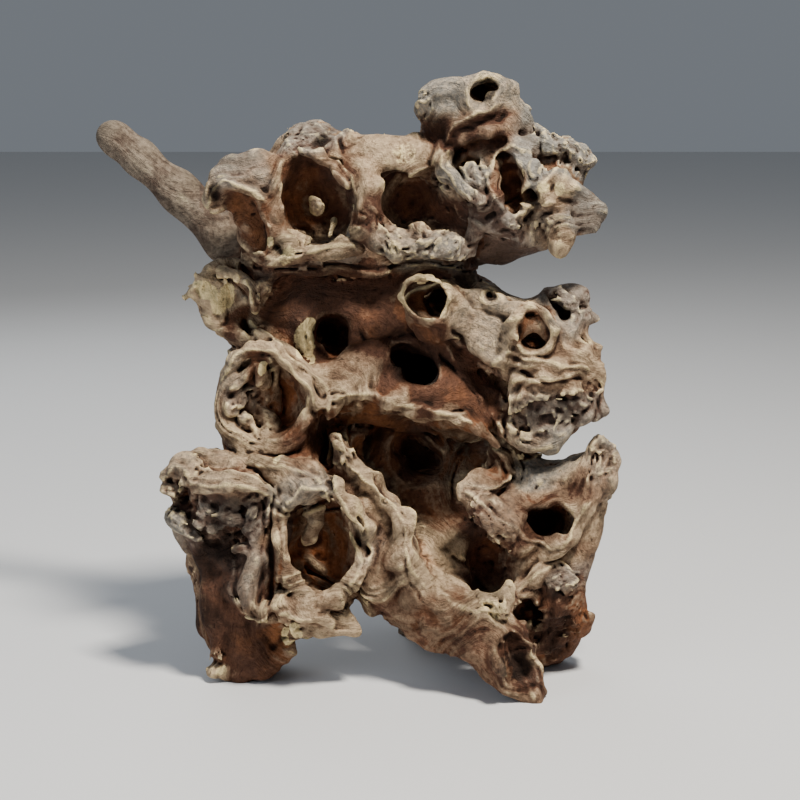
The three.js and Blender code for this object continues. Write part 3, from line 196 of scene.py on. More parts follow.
ridges = {
    "trunk wall": [
        [(243, 338, -22, 7), (262, 342, -28, 8), (280, 350, -32, 9), (300, 368, -36, 9),
         (318, 385, -42, 9), (326, 406, -48, 7), (323, 416, -48, 5)],
        [(326, 406, -48, 6), (345, 395, -52, 5), (370, 391, -56, 4), (395, 399, -62, 5),
         (412, 412, -66, 4), (435, 415, -69, 4), (458, 419, -69, 4), (480, 429, -64, 4),
         (498, 442, -56, 4)],
        [(345, 386, -44, 8), (380, 381, -48, 8), (412, 396, -56, 8), (446, 402, -60, 8)],
        [(226, 274, -20, 7), (240, 282, -26, 8), (250, 297, -28, 7), (256, 314, -22, 4)],
        [(252, 286, -24, 5), (262, 284, -20, 5), (270, 277, -16, 4)],
        [(302, 322, -14, 5), (306, 338, -15, 6), (308, 352, -16, 5)],
        [(345, 372, -36, 5), (372, 360, -34, 5), (392, 350, -28, 5), (412, 344, -26, 5),
         (434, 352, -30, 5)],
        [(262, 272, -10, 5), (300, 268, -16, 6), (345, 270, -16, 6), (385, 266, -14, 6)],
        [(290, 262, 52, 7), (318, 330, 66, 8), (348, 392, 66, 8), (378, 452, 72, 7), (398, 500, 70, 6)],
        [(372, 250, 52, 7), (392, 320, 66, 8), (412, 392, 62, 7), (446, 462, 76, 7), (452, 540, 70, 7),
         (440, 610, 76, 6)],
        [(330, 200, 44, 7), (380, 222, 50, 8), (440, 214, 42, 8), (500, 214, 22, 7)],
        [(282, 232, 34, 6), (330, 250, 46, 6), (420, 262, 46, 6), (468, 268, 32, 5)],
    ],
    "left bowl": [
        [(226, 372, -36, 5), (232, 358, -40, 5), (250, 353, -44, 6), (270, 352, -48, 6),
         (288, 364, -52, 5), (302, 382, -53, 5), (308, 402, -53, 5), (304, 422, -52, 5),
         (292, 440, -50, 5), (272, 450, -46, 6), (246, 444, -42, 6), (229, 426, -36, 5),
         (222, 400, -34, 5), (227, 372, -36, 4)],
    ],
    "tube knot": [
        [(403, 299, -80, 2.4), (409, 285, -84, 2.4), (424, 279, -86, 2.4), (439, 283, -84, 2.4),
         (446, 297, -80, 2.4), (442, 311, -77, 2.4), (425, 318, -75, 2.4), (409, 313, -77, 2.4),
         (403, 299, -80, 2.4)],
        [(448, 290, -70, 5), (458, 308, -60, 6), (462, 326, -50, 7)],
    ],
    "left flange": [
        [(190, 295, -12, 4), (201, 280, -12, 4), (211, 273, -8, 4), (226, 268, -4, 5), (236, 266, -2, 6)],
        [(190, 297, -12, 4), (203, 306, -14, 4), (206, 318, -14, 5), (222, 334, -16, 5),
         (242, 334, -18, 5)],
    ],
    "crown cup": [
        [(276, 165, -26, 7), (287, 155, -30, 8), (296, 146, -30, 8), (308, 142, -28, 7),
         (322, 145, -28, 7), (334, 151, -28, 8), (346, 144, -28, 7), (357, 146, -30, 6)],
        [(342, 156, -36, 9), (354, 172, -48, 9), (360, 190, -56, 9), (360, 210, -60, 9),
         (364, 228, -62, 9)],
        [(252, 244, -34, 5), (262, 253, -46, 5), (280, 258, -52, 5), (300, 257, -56, 6),
         (318, 252, -58, 7), (338, 248, -60, 7), (356, 250, -60, 7)],
        [(209, 184, -56, 3), (226, 180, -60, 4), (241, 184, -61, 3.5), (253, 190, -60, 3.5),
         (262, 201, -58, 3.5), (269, 214, -56, 3.5), (272, 228, -54, 4), (272, 246, -52, 4)],
        [(281, 168, -46, 4), (279, 186, -54, 4), (275, 206, -57, 4), (272, 224, -56, 4)],
        [(211, 190, -54, 3), (211, 203, -54, 3), (215, 210, -52, 3), (224, 205, -54, 3)],
        [(212, 194, -48, 4), (219, 175, -50, 6), (233, 164, -48, 7), (250, 160, -46, 7),
         (268, 164, -42, 6)],
    ],
    "crown": [
        [(364, 230, -64, 9), (380, 240, -68, 9), (396, 247, -70, 9), (414, 242, -70, 9),
         (434, 244, -68, 9), (452, 248, -62, 8), (466, 254, -52, 7)],
        [(366, 168, -50, 7), (376, 190, -60, 8), (374, 212, -64, 9), (384, 232, -66, 9)],
        [(344, 142, -26, 6), (366, 146, -32, 5), (392, 146, -34, 5), (418, 142, -34, 5),
         (438, 140, -32, 5)],
    ],
    "crown knob": [
        [(465, 94, -54, 4), (468, 84, -54, 3.5), (481, 81, -55, 3.5), (495, 84, -56, 4.5),
         (503, 94, -56, 5.5), (494, 105, -56, 5.5), (478, 108, -55, 4.5), (465, 94, -54, 4)],
        [(478, 108, -56, 3.5), (464, 118, -54, 3.5), (454, 128, -48, 3.5), (446, 142, -42, 4)],
        [(450, 142, -44, 4), (468, 138, -54, 4), (490, 131, -58, 4), (510, 126, -55, 4), (524, 123, -46, 4)],
        [(498, 94, -56, 5), (510, 106, -50, 5), (520, 118, -44, 5), (522, 132, -40, 6)],
        [(419, 104, -43, 3), (428, 98, -46, 3.5), (444, 93, -50, 3.5), (460, 88, -53, 3.5)],
    ],
    "crown burl": [
        [(443, 148, -46, 6), (444, 164, -54, 7.5), (450, 180, -61, 8.5), (463, 192, -65, 8.5),
         (480, 199, -69, 8), (496, 194, -72, 7), (494, 178, -68, 5), (503, 162, -64, 5),
         (512, 146, -58, 5), (522, 150, -56, 5)],
        [(524, 160, -66, 4), (530, 182, -70, 5), (527, 204, -70, 5), (516, 219, -68, 6),
         (503, 208, -72, 5)],
        [(520, 156, -64, 4), (532, 170, -70, 4), (545, 178, -72, 4), (558, 175, -72, 3)],
        [(562, 201, -70, 5), (580, 199, -70, 5), (590, 202, -67, 4), (594, 213, -64, 4), (590, 225, -64, 4)],
        [(530, 146, -50, 6), (545, 146, -54, 6), (562, 150, -50, 6), (580, 154, -44, 5)],
        [(526, 128, -38, 6), (536, 136, -42, 6), (552, 142, -44, 5)],
        [(470, 206, -60, 6), (478, 226, -58, 7), (470, 244, -52, 7)],
        [(498, 226, -58, 7), (520, 232, -56, 7), (542, 226, -58, 7), (550, 214, -62, 6)],
    ],
    "right arm": [
        [(512, 332, -72, 3.5), (517, 318, -76, 3.5), (530, 312, -78, 3.5), (544, 318, -78, 3.5),
         (549, 332, -78, 3.5), (544, 348, -76, 3.5), (528, 353, -74, 3.5), (512, 332, -72, 3.5)],
        [(490, 360, -56, 6), (508, 352, -64, 6), (526, 358, -70, 6), (552, 366, -72, 6),
         (578, 362, -68, 6), (596, 370, -58, 5)],
        [(470, 304, -44, 5), (492, 304, -58, 5), (512, 312, -66, 5), (530, 312, -66, 4),
         (548, 302, -54, 4)],
        [(508, 396, -62, 6), (520, 384, -68, 6), (545, 382, -74, 6), (570, 376, -70, 6),
         (596, 384, -58, 5)],
        [(507, 410, -62, 7), (512, 430, -60, 7), (528, 440, -60, 7), (546, 442, -60, 6),
         (560, 428, -62, 6), (580, 418, -62, 6), (598, 406, -54, 5)],
        [(549, 292, -44, 4), (562, 290, -46, 4), (576, 297, -44, 4), (584, 312, -40, 4),
         (574, 324, -44, 4), (560, 326, -50, 4)],
    ],
    "left foot": [
        [(168, 486, -52, 4), (169, 474, -58, 5), (177, 466, -64, 6), (187, 469, -70, 7),
         (194, 480, -74, 8), (200, 490, -76, 7)],
        [(194, 480, -74, 7), (208, 484, -80, 7), (230, 482, -84, 8), (250, 487, -86, 8),
         (266, 498, -86, 7), (274, 515, -86, 6)],
        [(200, 462, -44, 7), (214, 466, -52, 7), (232, 468, -58, 7), (250, 476, -66, 7)],
        [(198, 502, -72, 6), (214, 508, -80, 6), (236, 502, -84, 7), (250, 506, -86, 7),
         (262, 518, -84, 6)],
        [(177, 513, -60, 6), (185, 522, -66, 7), (194, 532, -74, 6)],
        [(196, 536, -66, 6), (202, 556, -66, 6), (208, 585, -66, 6), (211, 620, -66, 6),
         (215, 655, -70, 6)],
        [(252, 530, -84, 6), (258, 560, -86, 6), (248, 590, -88, 5.5), (252, 610, -92, 5.5),
         (280, 604, -94, 5), (306, 614, -92, 5), (328, 623, -88, 4)],
        [(258, 466, -68, 5), (285, 464, -74, 5), (310, 472, -80, 6), (330, 482, -86, 4)],
        [(286, 500, -86, 6), (310, 486, -92, 6), (334, 488, -92, 6), (350, 506, -90, 7),
         (362, 530, -86, 7), (364, 556, -84, 6), (354, 582, -86, 6), (334, 600, -88, 7),
         (306, 600, -90, 6), (286, 578, -88, 6), (278, 540, -88, 6), (286, 500, -86, 6)],
        [(276, 600, -86, 5), (300, 628, -84, 5), (322, 632, -83, 4), (345, 634, -80, 3)],
        [(214, 672, -66, 6), (240, 676, -66, 6), (262, 668, -66, 6), (290, 652, -68, 6)],
    ],
    "front foot": [
        [(338, 440, -44, 6), (344, 466, -58, 7), (366, 480, -68, 7), (388, 496, -74, 8),
         (404, 520, -80, 11), (408, 556, -84, 12), (418, 590, -86, 12)],
        [(362, 512, -72, 6), (360, 540, -76, 6), (366, 568, -74, 6), (378, 590, -74, 8)],
        [(414, 596, -84, 10), (446, 604, -96, 9), (476, 604, -106, 9), (498, 604, -108, 8),
         (508, 594, -108, 4)],
        [(493, 640, -118, 7), (505, 668, -124, 6), (522, 692, -121, 4)],
        [(512, 632, -110, 5), (526, 646, -108, 6), (536, 668, -106, 6), (539, 690, -107, 5)],
        [(424, 470, 6, 5), (436, 500, -2, 6), (440, 535, -20, 8), (430, 565, -44, 10)],
        [(500, 452, -44, 6), (506, 470, -44, 5), (500, 492, -44, 6), (488, 520, -50, 6)],
    ],
    "right foot": [
        [(466, 492, -70, 7), (482, 508, -76, 9), (500, 528, -78, 11), (520, 546, -74, 10)],
        [(522, 562, -66, 8), (550, 552, -70, 9), (570, 532, -66, 9), (582, 506, -58, 8),
         (590, 490, -52, 7)],
        [(596, 450, -48, 6), (606, 448, -48, 5), (613, 462, -46, 6), (604, 482, -46, 7),
         (596, 494, -44, 7)],
        [(522, 586, -72, 7), (540, 576, -74, 8), (560, 580, -70, 8), (576, 594, -60, 8)],
        [(520, 470, -50, 6), (542, 478, -54, 7), (566, 478, -54, 6), (588, 464, -50, 6)],
        [(534, 644, -46, 5), (548, 640, -50, 5), (564, 630, -50, 5), (580, 616, -44, 5)],
        [(540, 606, -64, 5), (556, 602, -66, 5), (574, 596, -58, 5)],
        [(566, 612, -56, 5), (582, 616, -50, 5), (578, 626, -46, 4)],
    ],
}

hollows = {
    "trunk wall": [
        [(327, 332, -60, 12), (328, 333, -4, 13), (334, 334, 26, 12)],
        [(332, 344, -60, 9), (332, 343, 10, 11)],
        [(400, 358, -70, 10), (402, 360, 0, 11), (410, 364, 22, 12)],
        [(420, 370, -70, 15), (420, 371, -6, 16), (422, 370, 18, 13)],
        [(330, 414, -60, 5), (330, 440, -54, 7), (334, 475, -66, 6), (352, 510, -90, 4),
         (368, 550, -96, 3)],
        [(475, 280, -70, 8), (468, 282, -34, 9), (462, 284, -16, 8)],
        [(364, 300, 84, 12), (372, 340, 78, 12)],
        [(300, 380, 60, 12), (312, 420, 52, 10)],
        [(420, 500, 84, 12), (424, 520, 80, 12)],
        [(400, 200, 78, 14), (420, 196, 72, 12)],
    ],
    "left bowl": [
        [(261, 396, -80, 29), (265, 402, -52, 30), (267, 406, -34, 26)],
    ],
    "tube knot": [
        [(420, 298, -104, 13.5), (421, 298, -74, 13.5), (427, 300, -56, 12)],
        [(429, 298, -104, 13.5), (430, 298, -74, 13.5), (437, 300, -56, 11), (441, 302, -30, 10)],
    ],
    "left flange": [
        [(213, 296, -38, 20), (232, 302, -30, 17), (246, 320, -28, 8)],
        [(247, 330, -40, 4), (248, 329, -10, 5)],
    ],
    "crown cup": [
        [(300, 172, -84, 20), (318, 188, -80, 32), (320, 206, -80, 32), (322, 220, -80, 26)],
        [(294, 166, -74, 12), (312, 168, -74, 14), (332, 172, -74, 13)],
        [(296, 212, -70, 14), (298, 230, -66, 13)],
        [(306, 176, -52, 20), (316, 192, -44, 29), (317, 208, -40, 30), (314, 224, -46, 24)],
        [(309, 138, -42, 6), (322, 140, -42, 6)],
        [(232, 200, -66, 6), (244, 204, -61, 8), (255, 221, -56, 8), (260, 242, -50, 7)],
        [(213, 191, -61, 3), (219, 194, -61, 4)],
        [(244, 178, -66, 4), (258, 180, -63, 5)],
    ],
    "crown": [
        [(394, 186, -84, 15), (410, 206, -84, 26), (432, 216, -80, 18)],
        [(394, 190, -46, 16), (408, 208, -36, 26), (430, 217, -38, 19)],
        [(440, 196, -66, 9), (458, 214, -70, 12), (466, 236, -72, 8)],
    ],
    "crown knob": [
        [(488, 88, -86, 6.5), (487, 89, -54, 7), (480, 94, -34, 6)],
        [(476, 90, -86, 6), (475, 91, -54, 6), (478, 94, -34, 6)],
        [(418, 118, -50, 4), (428, 122, -52, 6), (436, 131, -50, 5)],
        [(464, 152, -52, 4.5), (486, 147, -56, 5.5), (508, 140, -54, 5)],
    ],
    "crown burl": [
        [(452, 152, -84, 7), (460, 158, -64, 10), (472, 166, -50, 10)],
        [(480, 180, -50, 10), (474, 176, -52, 10)],
        [(505, 156, -76, 5), (505, 158, -52, 5)],
        [(508, 168, -82, 6.5), (509, 170, -52, 7)],
        [(510, 182, -84, 7.5), (511, 184, -52, 8.5)],
        [(514, 196, -84, 7), (515, 198, -54, 7.5)],
        [(519, 207, -82, 5), (519, 208, -60, 5)],
        [(455, 156, -62, 5), (461, 171, -66, 5), (471, 182, -72, 4.5), (483, 187, -76, 4)],
        [(534, 193, -90, 6), (535, 193, -50, 6)],
        [(540, 165, -60, 5), (550, 167, -56, 4)],
        [(556, 162, -72, 5), (568, 165, -60, 5)],
        [(555, 190, -86, 3), (557, 196, -84, 3)],
        [(526, 222, -76, 5), (548, 226, -78, 5)],
        [(572, 206, -84, 3), (586, 208, -82, 3)],
    ],
    "right arm": [
        [(531, 333, -96, 12), (532, 334, -60, 13)],
        [(557, 304, -70, 5), (560, 306, -40, 7)],
        [(568, 312, -70, 7), (567, 312, -42, 7)],
        [(574, 306, -60, 4), (572, 308, -47, 4)],
        [(450, 342, -56, 6), (466, 354, -50, 8), (484, 370, -50, 9), (499, 390, -56, 9),
         (504, 414, -62, 8)],
        [(488, 350, -68, 5), (500, 352, -74, 5), (514, 358, -77, 5)],
        [(510, 388, -70, 5), (530, 389, -79, 6), (552, 390, -81, 6.5), (578, 388, -80, 6),
         (596, 385, -72, 5)],
        [(590, 326, -60, 5), (584, 340, -60, 5)],
        [(522, 418, -74, 10), (542, 416, -75, 12), (566, 408, -75, 11), (580, 402, -76, 7)],
        [(487, 298, -80, 4), (486, 298, -40, 4)],
        [(496, 378, -70, 9), (500, 400, -60, 10)],
        [(566, 336, -78, 6), (580, 344, -70, 6)],
    ],
    "left foot": [
        [(316, 516, -116, 22), (320, 545, -116, 30), (316, 570, -116, 24)],
        [(318, 530, -76, 26), (320, 556, -72, 28), (316, 552, -62, 22)],
        [(214, 572, -108, 18), (222, 600, -108, 22), (236, 630, -114, 26), (262, 648, -114, 22),
         (285, 644, -108, 14)],
        [(214, 545, -80, 12), (228, 543, -79, 13), (242, 549, -84, 10)],
        [(200, 504, -82, 6), (216, 502, -88, 6), (236, 501, -93, 6.5), (258, 508, -95, 6)],
        [(198, 514, -86, 10), (218, 517, -95, 11), (238, 518, -97, 11), (254, 525, -97, 10)],
        [(178, 494, -90, 9), (182, 498, -60, 9)],
        [(230, 469, -80, 4), (250, 471, -83, 4.5), (262, 484, -87, 4)],
        [(180, 540, -80, 4), (196, 545, -84, 4)],
    ],
    "front foot": [
        [(352, 442, -66, 12), (384, 446, -40, 22), (420, 452, -26, 28), (460, 458, -30, 26),
         (492, 470, -44, 14)],
        [(410, 448, -6, 14), (414, 452, 24, 12)],
        [(424, 460, -6, 14), (424, 460, 24, 12)],
        [(414, 466, -6, 9), (416, 466, 16, 8)],
        [(380, 460, -84, 14), (410, 476, -66, 28), (446, 486, -60, 32), (474, 486, -60, 24)],
        [(436, 510, -66, 30), (452, 534, -80, 32), (462, 562, -94, 28), (476, 590, -116, 20)],
        [(484, 560, -70, 20), (488, 582, -70, 18), (490, 590, -56, 14)],
        [(484, 534, -54, 14), (487, 558, -43, 15), (490, 584, -51, 12.5)],
        [(513, 650, -124, 12), (521, 672, -120, 12), (525, 688, -122, 8)],
        [(374, 536, -100, 9), (372, 552, -98, 8)],
        [(499, 460, -70, 4), (498, 462, -40, 4)],
    ],
    "right foot": [
        [(540, 524, -90, 12), (541, 523, -54, 14), (544, 526, -34, 14)],
        [(560, 518, -90, 12), (559, 519, -54, 14), (552, 524, -34, 14)],
        [(530, 512, -80, 5), (570, 508, -76, 5)],
        [(521, 612, -100, 5), (523, 614, -52, 7)],
        [(529, 605, -100, 6), (530, 608, -52, 8)],
        [(537, 613, -100, 4), (538, 614, -52, 7)],
        [(505, 525, -96, 3), (505, 525, -66, 3)],
        [(560, 606, -90, 5), (580, 604, -80, 5)],
        [(590, 470, -70, 6), (596, 474, -54, 6)],
    ],
}

knots = {
    "left bowl": [
        [(235, 384, -38, 4), (238, 389, -36, 4)],
        [(242, 398, -32, 5), (247, 401, -30, 5)],
        [(234, 406, -40, 4.5), (238, 411, -40, 4.5)],
        [(255, 409, -26, 5), (259, 412, -26, 5)],
        [(247, 420, -37, 5), (252, 423, -36, 4.5)],
        [(266, 421, -31, 5), (269, 426, -33, 4.5)],
        [(258, 433, -41, 4), (262, 435, -41, 4)],
        [(260, 371, -46, 4), (264, 384, -36, 5)],
        [(244, 372, -40, 3), (254, 362, -44, 3), (268, 362, -46, 3)],
        [(240, 386, -24, 9), (250, 400, -18, 10), (254, 420, -20, 10)],
        [(250, 370, -34, 4), (256, 386, -28, 5), (266, 398, -24, 4)],
        [(272, 372, -34, 3), (276, 392, -20, 3), (274, 412, -18, 4)],
    ],
    "crown cup": [
        [(313, 198, -26, 3.4), (317, 204, -27, 3.6), (314, 210, -24, 3.4)],
        [(308, 150, -44, 5), (322, 156, -48, 5), (336, 165, -52, 5), (350, 178, -55, 6)],
        [(330, 234, -46, 4), (334, 220, -36, 3)],
        [(282, 236, -58, 4), (294, 244, -60, 4), (303, 252, -60, 4)],
        [(290, 238, -44, 4), (304, 244, -48, 5)],
    ],
    "crown": [
        [(384, 232, -68, 5), (396, 233, -66, 5), (408, 237, -66, 5), (420, 231, -64, 5),
         (434, 238, -66, 5), (450, 243, -64, 5)],
    ],
    "crown knob": [
        [(494, 98, -62, 3), (488, 94, -58, 3)],
    ],
    "crown burl": [
        [(470, 170, -66, 5), (480, 172, -68, 6), (488, 178, -68, 5)],
        [(468, 180, -66, 4), (478, 184, -68, 4)],
        [(545, 188, -73, 6), (549, 197, -73, 6.5)],
        [(564, 184, -74, 6), (570, 193, -75, 7)],
        [(562, 212, -66, 7), (562, 224, -74, 7.5), (561, 238, -77, 7.5), (561, 247, -77, 7.5)],
    ],
    "right arm": [
        [(518, 334, -70, 3.5), (526, 326, -72, 4), (538, 326, -72, 4), (542, 336, -70, 3.5)],
        [(528, 410, -62, 5), (538, 418, -64, 5)],
        [(578, 314, -38, 5), (588, 317, -36, 3.4), (596, 318, -35, 2)],
        [(550, 406, -66, 5), (556, 410, -65, 4.5)],
        [(566, 414, -64, 5), (572, 406, -66, 4.5)],
    ],
    "left foot": [
        [(308, 500, -66, 4.5), (316, 508, -70, 4.5), (319, 522, -72, 3.2), (314, 536, -72, 3.6),
         (306, 541, -70, 2.6)],
        [(314, 560, -46, 6), (322, 567, -48, 6)],
        [(200, 520, -76, 5), (212, 524, -80, 6)],
        [(224, 516, -84, 5), (236, 522, -84, 5)],
        [(246, 516, -88, 5), (254, 528, -86, 5)],
        [(202, 510, -78, 4), (212, 512, -82, 4)],
        [(166, 488, -64, 5), (176, 492, -68, 5)],
        [(182, 515, -66, 6.5), (188, 522, -68, 6)],
        [(238, 548, -84, 4), (250, 552, -86, 4)],
    ],
    "front foot": [
        [(338, 446, -58, 4), (346, 450, -60, 4)],
        [(510, 594, -110, 4), (512, 584, -110, 2.5)],
    ],
    "right foot": [
        [(556, 586, -76, 6), (572, 580, -72, 6)],
        [(592, 452, -52, 5), (600, 446, -52, 5)],
        [(600, 470, -52, 5), (606, 480, -50, 5)],
        [(588, 466, -52, 4), (590, 482, -52, 4)],
        [(463, 489, -72, 6), (473, 487, -70, 8), (484, 486, -66, 9), (496, 480, -56, 9)],
        [(466, 494, -74, 6), (478, 502, -76, 8), (492, 516, -78, 8)],
        [(500, 452, -46, 4), (501, 466, -50, 5), (498, 480, -56, 6)],
    ],
}


def placeOf(station):
    ray = sight + upright * (picture["middle"] - station[1]) / focalLength
    ray[0] += (station[0] - picture["middle"]) / focalLength
    return eye + ray * (station[2] - eye[1]) / ray[1]


def pixelsOf(places):
    toward = places - eye
    along = toward @ sight
    column = picture["middle"] + focalLength * toward[:, 0] / along
    row = picture["middle"] - focalLength * (toward @ upright) / along
    return column, row


def softMin(a, b, blend):
    overlap = np.maximum(blend - np.abs(a - b), 0) / blend
    return np.minimum(a, b) - overlap * overlap * (blend / 4)


def smoothStep(value, low, high):
    share = np.clip((value - low) / (high - low), 0, 1)
    return share * share * (3 - 2 * share)


gridLow = np.array(surface["low"], float)
gridShape = np.ceil((np.array(surface["high"]) - gridLow) / surface["cell"]).astype(int) + 1
gridAxes = [
    (gridLow[axis] + surface["cell"] * np.arange(gridShape[axis])).astype(np.float32) for axis in range(3)
]


def addForms(field, forms, blend, cutting=False):
    for stations in [run for runs in forms.values() for run in runs]:
        places = [placeOf(station) for station in stations]
        for number in range(len(stations) - 1):
            start, end = places[number], places[number + 1]
            startRadius, endRadius = stations[number][3], stations[number + 1][3]
            reach = max(startRadius, endRadius) + 1.3 * blend
            low = np.floor((np.minimum(start, end) - reach - gridLow) / surface["cell"]).astype(int)
            high = np.ceil((np.maximum(start, end) + reach - gridLow) / surface["cell"]).astype(int) + 1
            box = tuple(slice(max(a, 0), max(b, 0)) for a, b in zip(low, high))
            x = gridAxes[0][box[0]][:, None, None] - np.float32(start[0])
            y = gridAxes[1][box[1]][None, :, None] - np.float32(start[1])
            z = gridAxes[2][box[2]][None, None, :] - np.float32(start[2])
            axis = (end - start).astype(np.float32)
            share = np.clip((x * axis[0] + y * axis[1] + z * axis[2]) / max(float(axis @ axis), 1e-6), 0, 1)
            away = (x - share * axis[0]) ** 2 + (y - share * axis[1]) ** 2 + (z - share * axis[2]) ** 2
            form = np.sqrt(away) - (startRadius + (endRadius - startRadius) * share)
            if cutting:
                field[box] = -softMin(-field[box], form, blend)
            else:
                field[box] = softMin(field[box], form, blend)


field = np.full(gridShape, surface["away"], np.float32)
addForms(field, swellings, surface["swelling"])
addForms(field, ridges, surface["ridge"])
addForms(field, hollows, surface["hollow"], cutting=True)
addForms(field, knots, surface["knot"])
print("forms worked out", field.shape, round(time.time() - started, 1))


# Value noise and cell noise, seeded, so that every run gives the same wood.
def randomAt(i, j, k, seed):
    mixed = i * np.uint32(73856093) ^ j * np.uint32(19349663) ^ k * np.uint32(83492791)
    mixed = mixed ^ np.uint32(seed * 374761393 % 4294967296)
    mixed = (mixed ^ (mixed >> np.uint32(13))) * np.uint32(1274126177)
    mixed = (mixed ^ (mixed >> np.uint32(16))) * np.uint32(2246822519)
    return ((mixed ^ (mixed >> np.uint32(15))) >> np.uint32(8)).astype(np.float32) / np.float32(16777216)


def softNoise(places, size, seed):
    scaled = places / np.float32(size) + np.float32(512)
    base = np.floor(scaled)
    part = scaled - base
    part = part * part * (3 - 2 * part)
    i, j, k = base.astype(np.uint32).T
    total = np.zeros(len(places), np.float32)
    for a in (0, 1):
        shareX = part[:, 0] if a else 1 - part[:, 0]
        for b in (0, 1):
            shareY = shareX * (part[:, 1] if b else 1 - part[:, 1])
            for c in (0, 1):
                share = shareY * (part[:, 2] if c else 1 - part[:, 2])
                corner = randomAt(i + np.uint32(a), j + np.uint32(b), k + np.uint32(c), seed)
                total += share * corner
    return total * 2 - 1


def nearestCell(places, size, seed, valueOf):  # how far the nearest cell's middle is, and its value
    scaled = places / np.float32(size) + np.float32(512)
    base = np.floor(scaled)
    part = scaled - base
    i, j, k = base.astype(np.uint32).T
    nearest = np.full(len(places), 9, np.float32)
    value = np.zeros(len(places), np.float32)
    steps = [(a, b, c) for a in (-1, 0, 1) for b in (-1, 0, 1) for c in (-1, 0, 1)]
    for a, b, c in steps:
        corner = (i + np.uint32(a % 2**32), j + np.uint32(b % 2**32), k + np.uint32(c % 2**32))
        x = a + randomAt(*corner, seed) - part[:, 0]
        y = b + randomAt(*corner, seed + 1) - part[:, 1]
        z = c + randomAt(*corner, seed + 2) - part[:, 2]
        away = x * x + y * y + z * z
        closer = away < nearest
        value = np.where(closer, valueOf(corner, (x, y, z), seed), value)
        nearest = np.where(closer, away, nearest)
    return np.sqrt(nearest), value


def chanceOf(corner, toMiddle, seed):
    return randomAt(*corner, seed + 3)


def chipOf(corner, toMiddle, seed):  # a flat chip with its own height and lean, from -1 to 1
    x, y, z = toMiddle
    turn = 40 * randomAt(*corner, seed + 3)
    lean = np.cos(turn) * x + np.sin(turn) * z + np.sin(0.7 * turn) * y
    return 1.5 * randomAt(*corner, seed + 4) - 0.75 + 0.8 * lean


# The grain: which way it runs at places in the picture (column, row, degrees, reach in pixels),
# and the knots and holes that it bends round (column, row, radius in pixels).
grain = {
    "runs": [
        (170, 190, -41, 40), (210, 190, 15, 22), (250, 175, -5, 20), (262, 222, -68, 18),
        (310, 138, 10, 20), (318, 200, 80, 24), (390, 158, -4, 26), (400, 235, 0, 24),
        (425, 200, 60, 18), (440, 105, 15, 18), (490, 120, -25, 20), (480, 185, -50, 22),
        (500, 240, 12, 26), (545, 150, -20, 22), (575, 205, -8, 20), (561, 238, 88, 17),
        (250, 300, -25, 26), (330, 290, -3, 34), (420, 290, 5, 34), (330, 370, -18, 26),
        (440, 385, -12, 30), (395, 405, -4, 20), (480, 320, -32, 26), (540, 300, -10, 20),
        (560, 362, -14, 24), (540, 430, 12, 22), (245, 400, 80, 24), (306, 445, 86, 18),
        (400, 460, 30, 26), (440, 530, -58, 30), (385, 520, -62, 20), (375, 560, 84, 16),
        (290, 480, 6, 18), (215, 480, -8, 26), (195, 520, -40, 22), (262, 550, 88, 22),
        (215, 600, 84, 28), (285, 612, 4, 18), (330, 625, 4, 18), (345, 545, 80, 14),
        (430, 605, -16, 24), (500, 640, -52, 24), (530, 685, -70, 18), (495, 515, -20, 20),
        (555, 480, 8, 22), (600, 465, 66, 16), (570, 520, 50, 18), (560, 575, 30, 20),
        (552, 635, 80, 22), (490, 470, 84, 16), (318, 520, 80, 12),
    ],
    "knots": [
        (316, 192, 42), (412, 206, 36), (483, 92, 18), (422, 104, 9), (456, 156, 13), (478, 173, 13),
        (509, 182, 17), (541, 165, 12), (534, 193, 8), (426, 300, 25), (329, 334, 18), (415, 366, 25),
        (267, 404, 42), (531, 333, 20), (565, 309, 14), (545, 410, 32), (320, 545, 40), (549, 521, 26),
        (527, 611, 14), (518, 668, 17), (213, 298, 20), (487, 298, 6), (224, 538, 22), (416, 455, 22),
    ],
}


def grainAcross(column, row, depth):
    across = np.zeros(len(column), np.float32)
    total = np.full(len(column), 1e-6, np.float32)
    turn = np.zeros(len(column), np.float32)
    for runColumn, runRow, degrees, reach in grain["runs"]:
        toRight = (column - runColumn) * np.float32(picture["pixel"])
        toTop = (runRow - row) * np.float32(picture["pixel"])
        share = np.exp(-(toRight**2 + toTop**2) / np.float32(2 * (reach * picture["pixel"]) ** 2)) + 1e-5
        angle = math.radians(degrees)
        across += share * (toTop * math.cos(angle) - toRight * math.sin(angle))
        turn += share * abs(math.sin(angle))
        total += share
    across /= total
    turn /= total
    for knotColumn, knotRow, radius in grain["knots"]:
        away = np.hypot(column - knotColumn, row - knotRow)
        close = away < 3.2 * radius
        ringShare = np.exp(-(((away[close] - radius) / (0.42 * radius)) ** 2))
        middle = np.mean(across[close][away[close] < 0.5 * radius]) if (away < 0.5 * radius).any() else 0
        bent = across[close] - (across[close] - middle) * np.minimum(
            (radius / np.maximum(away[close], 0.6 * radius)) ** 2, 1
        ) * np.exp(-((away[close] / (2.2 * radius)) ** 2))
        ring = middle + (away[close] - radius) * np.float32(picture["pixel"])
        across[close] = bent + (ring - bent) * ringShare
    return across + 0.8 * depth * turn


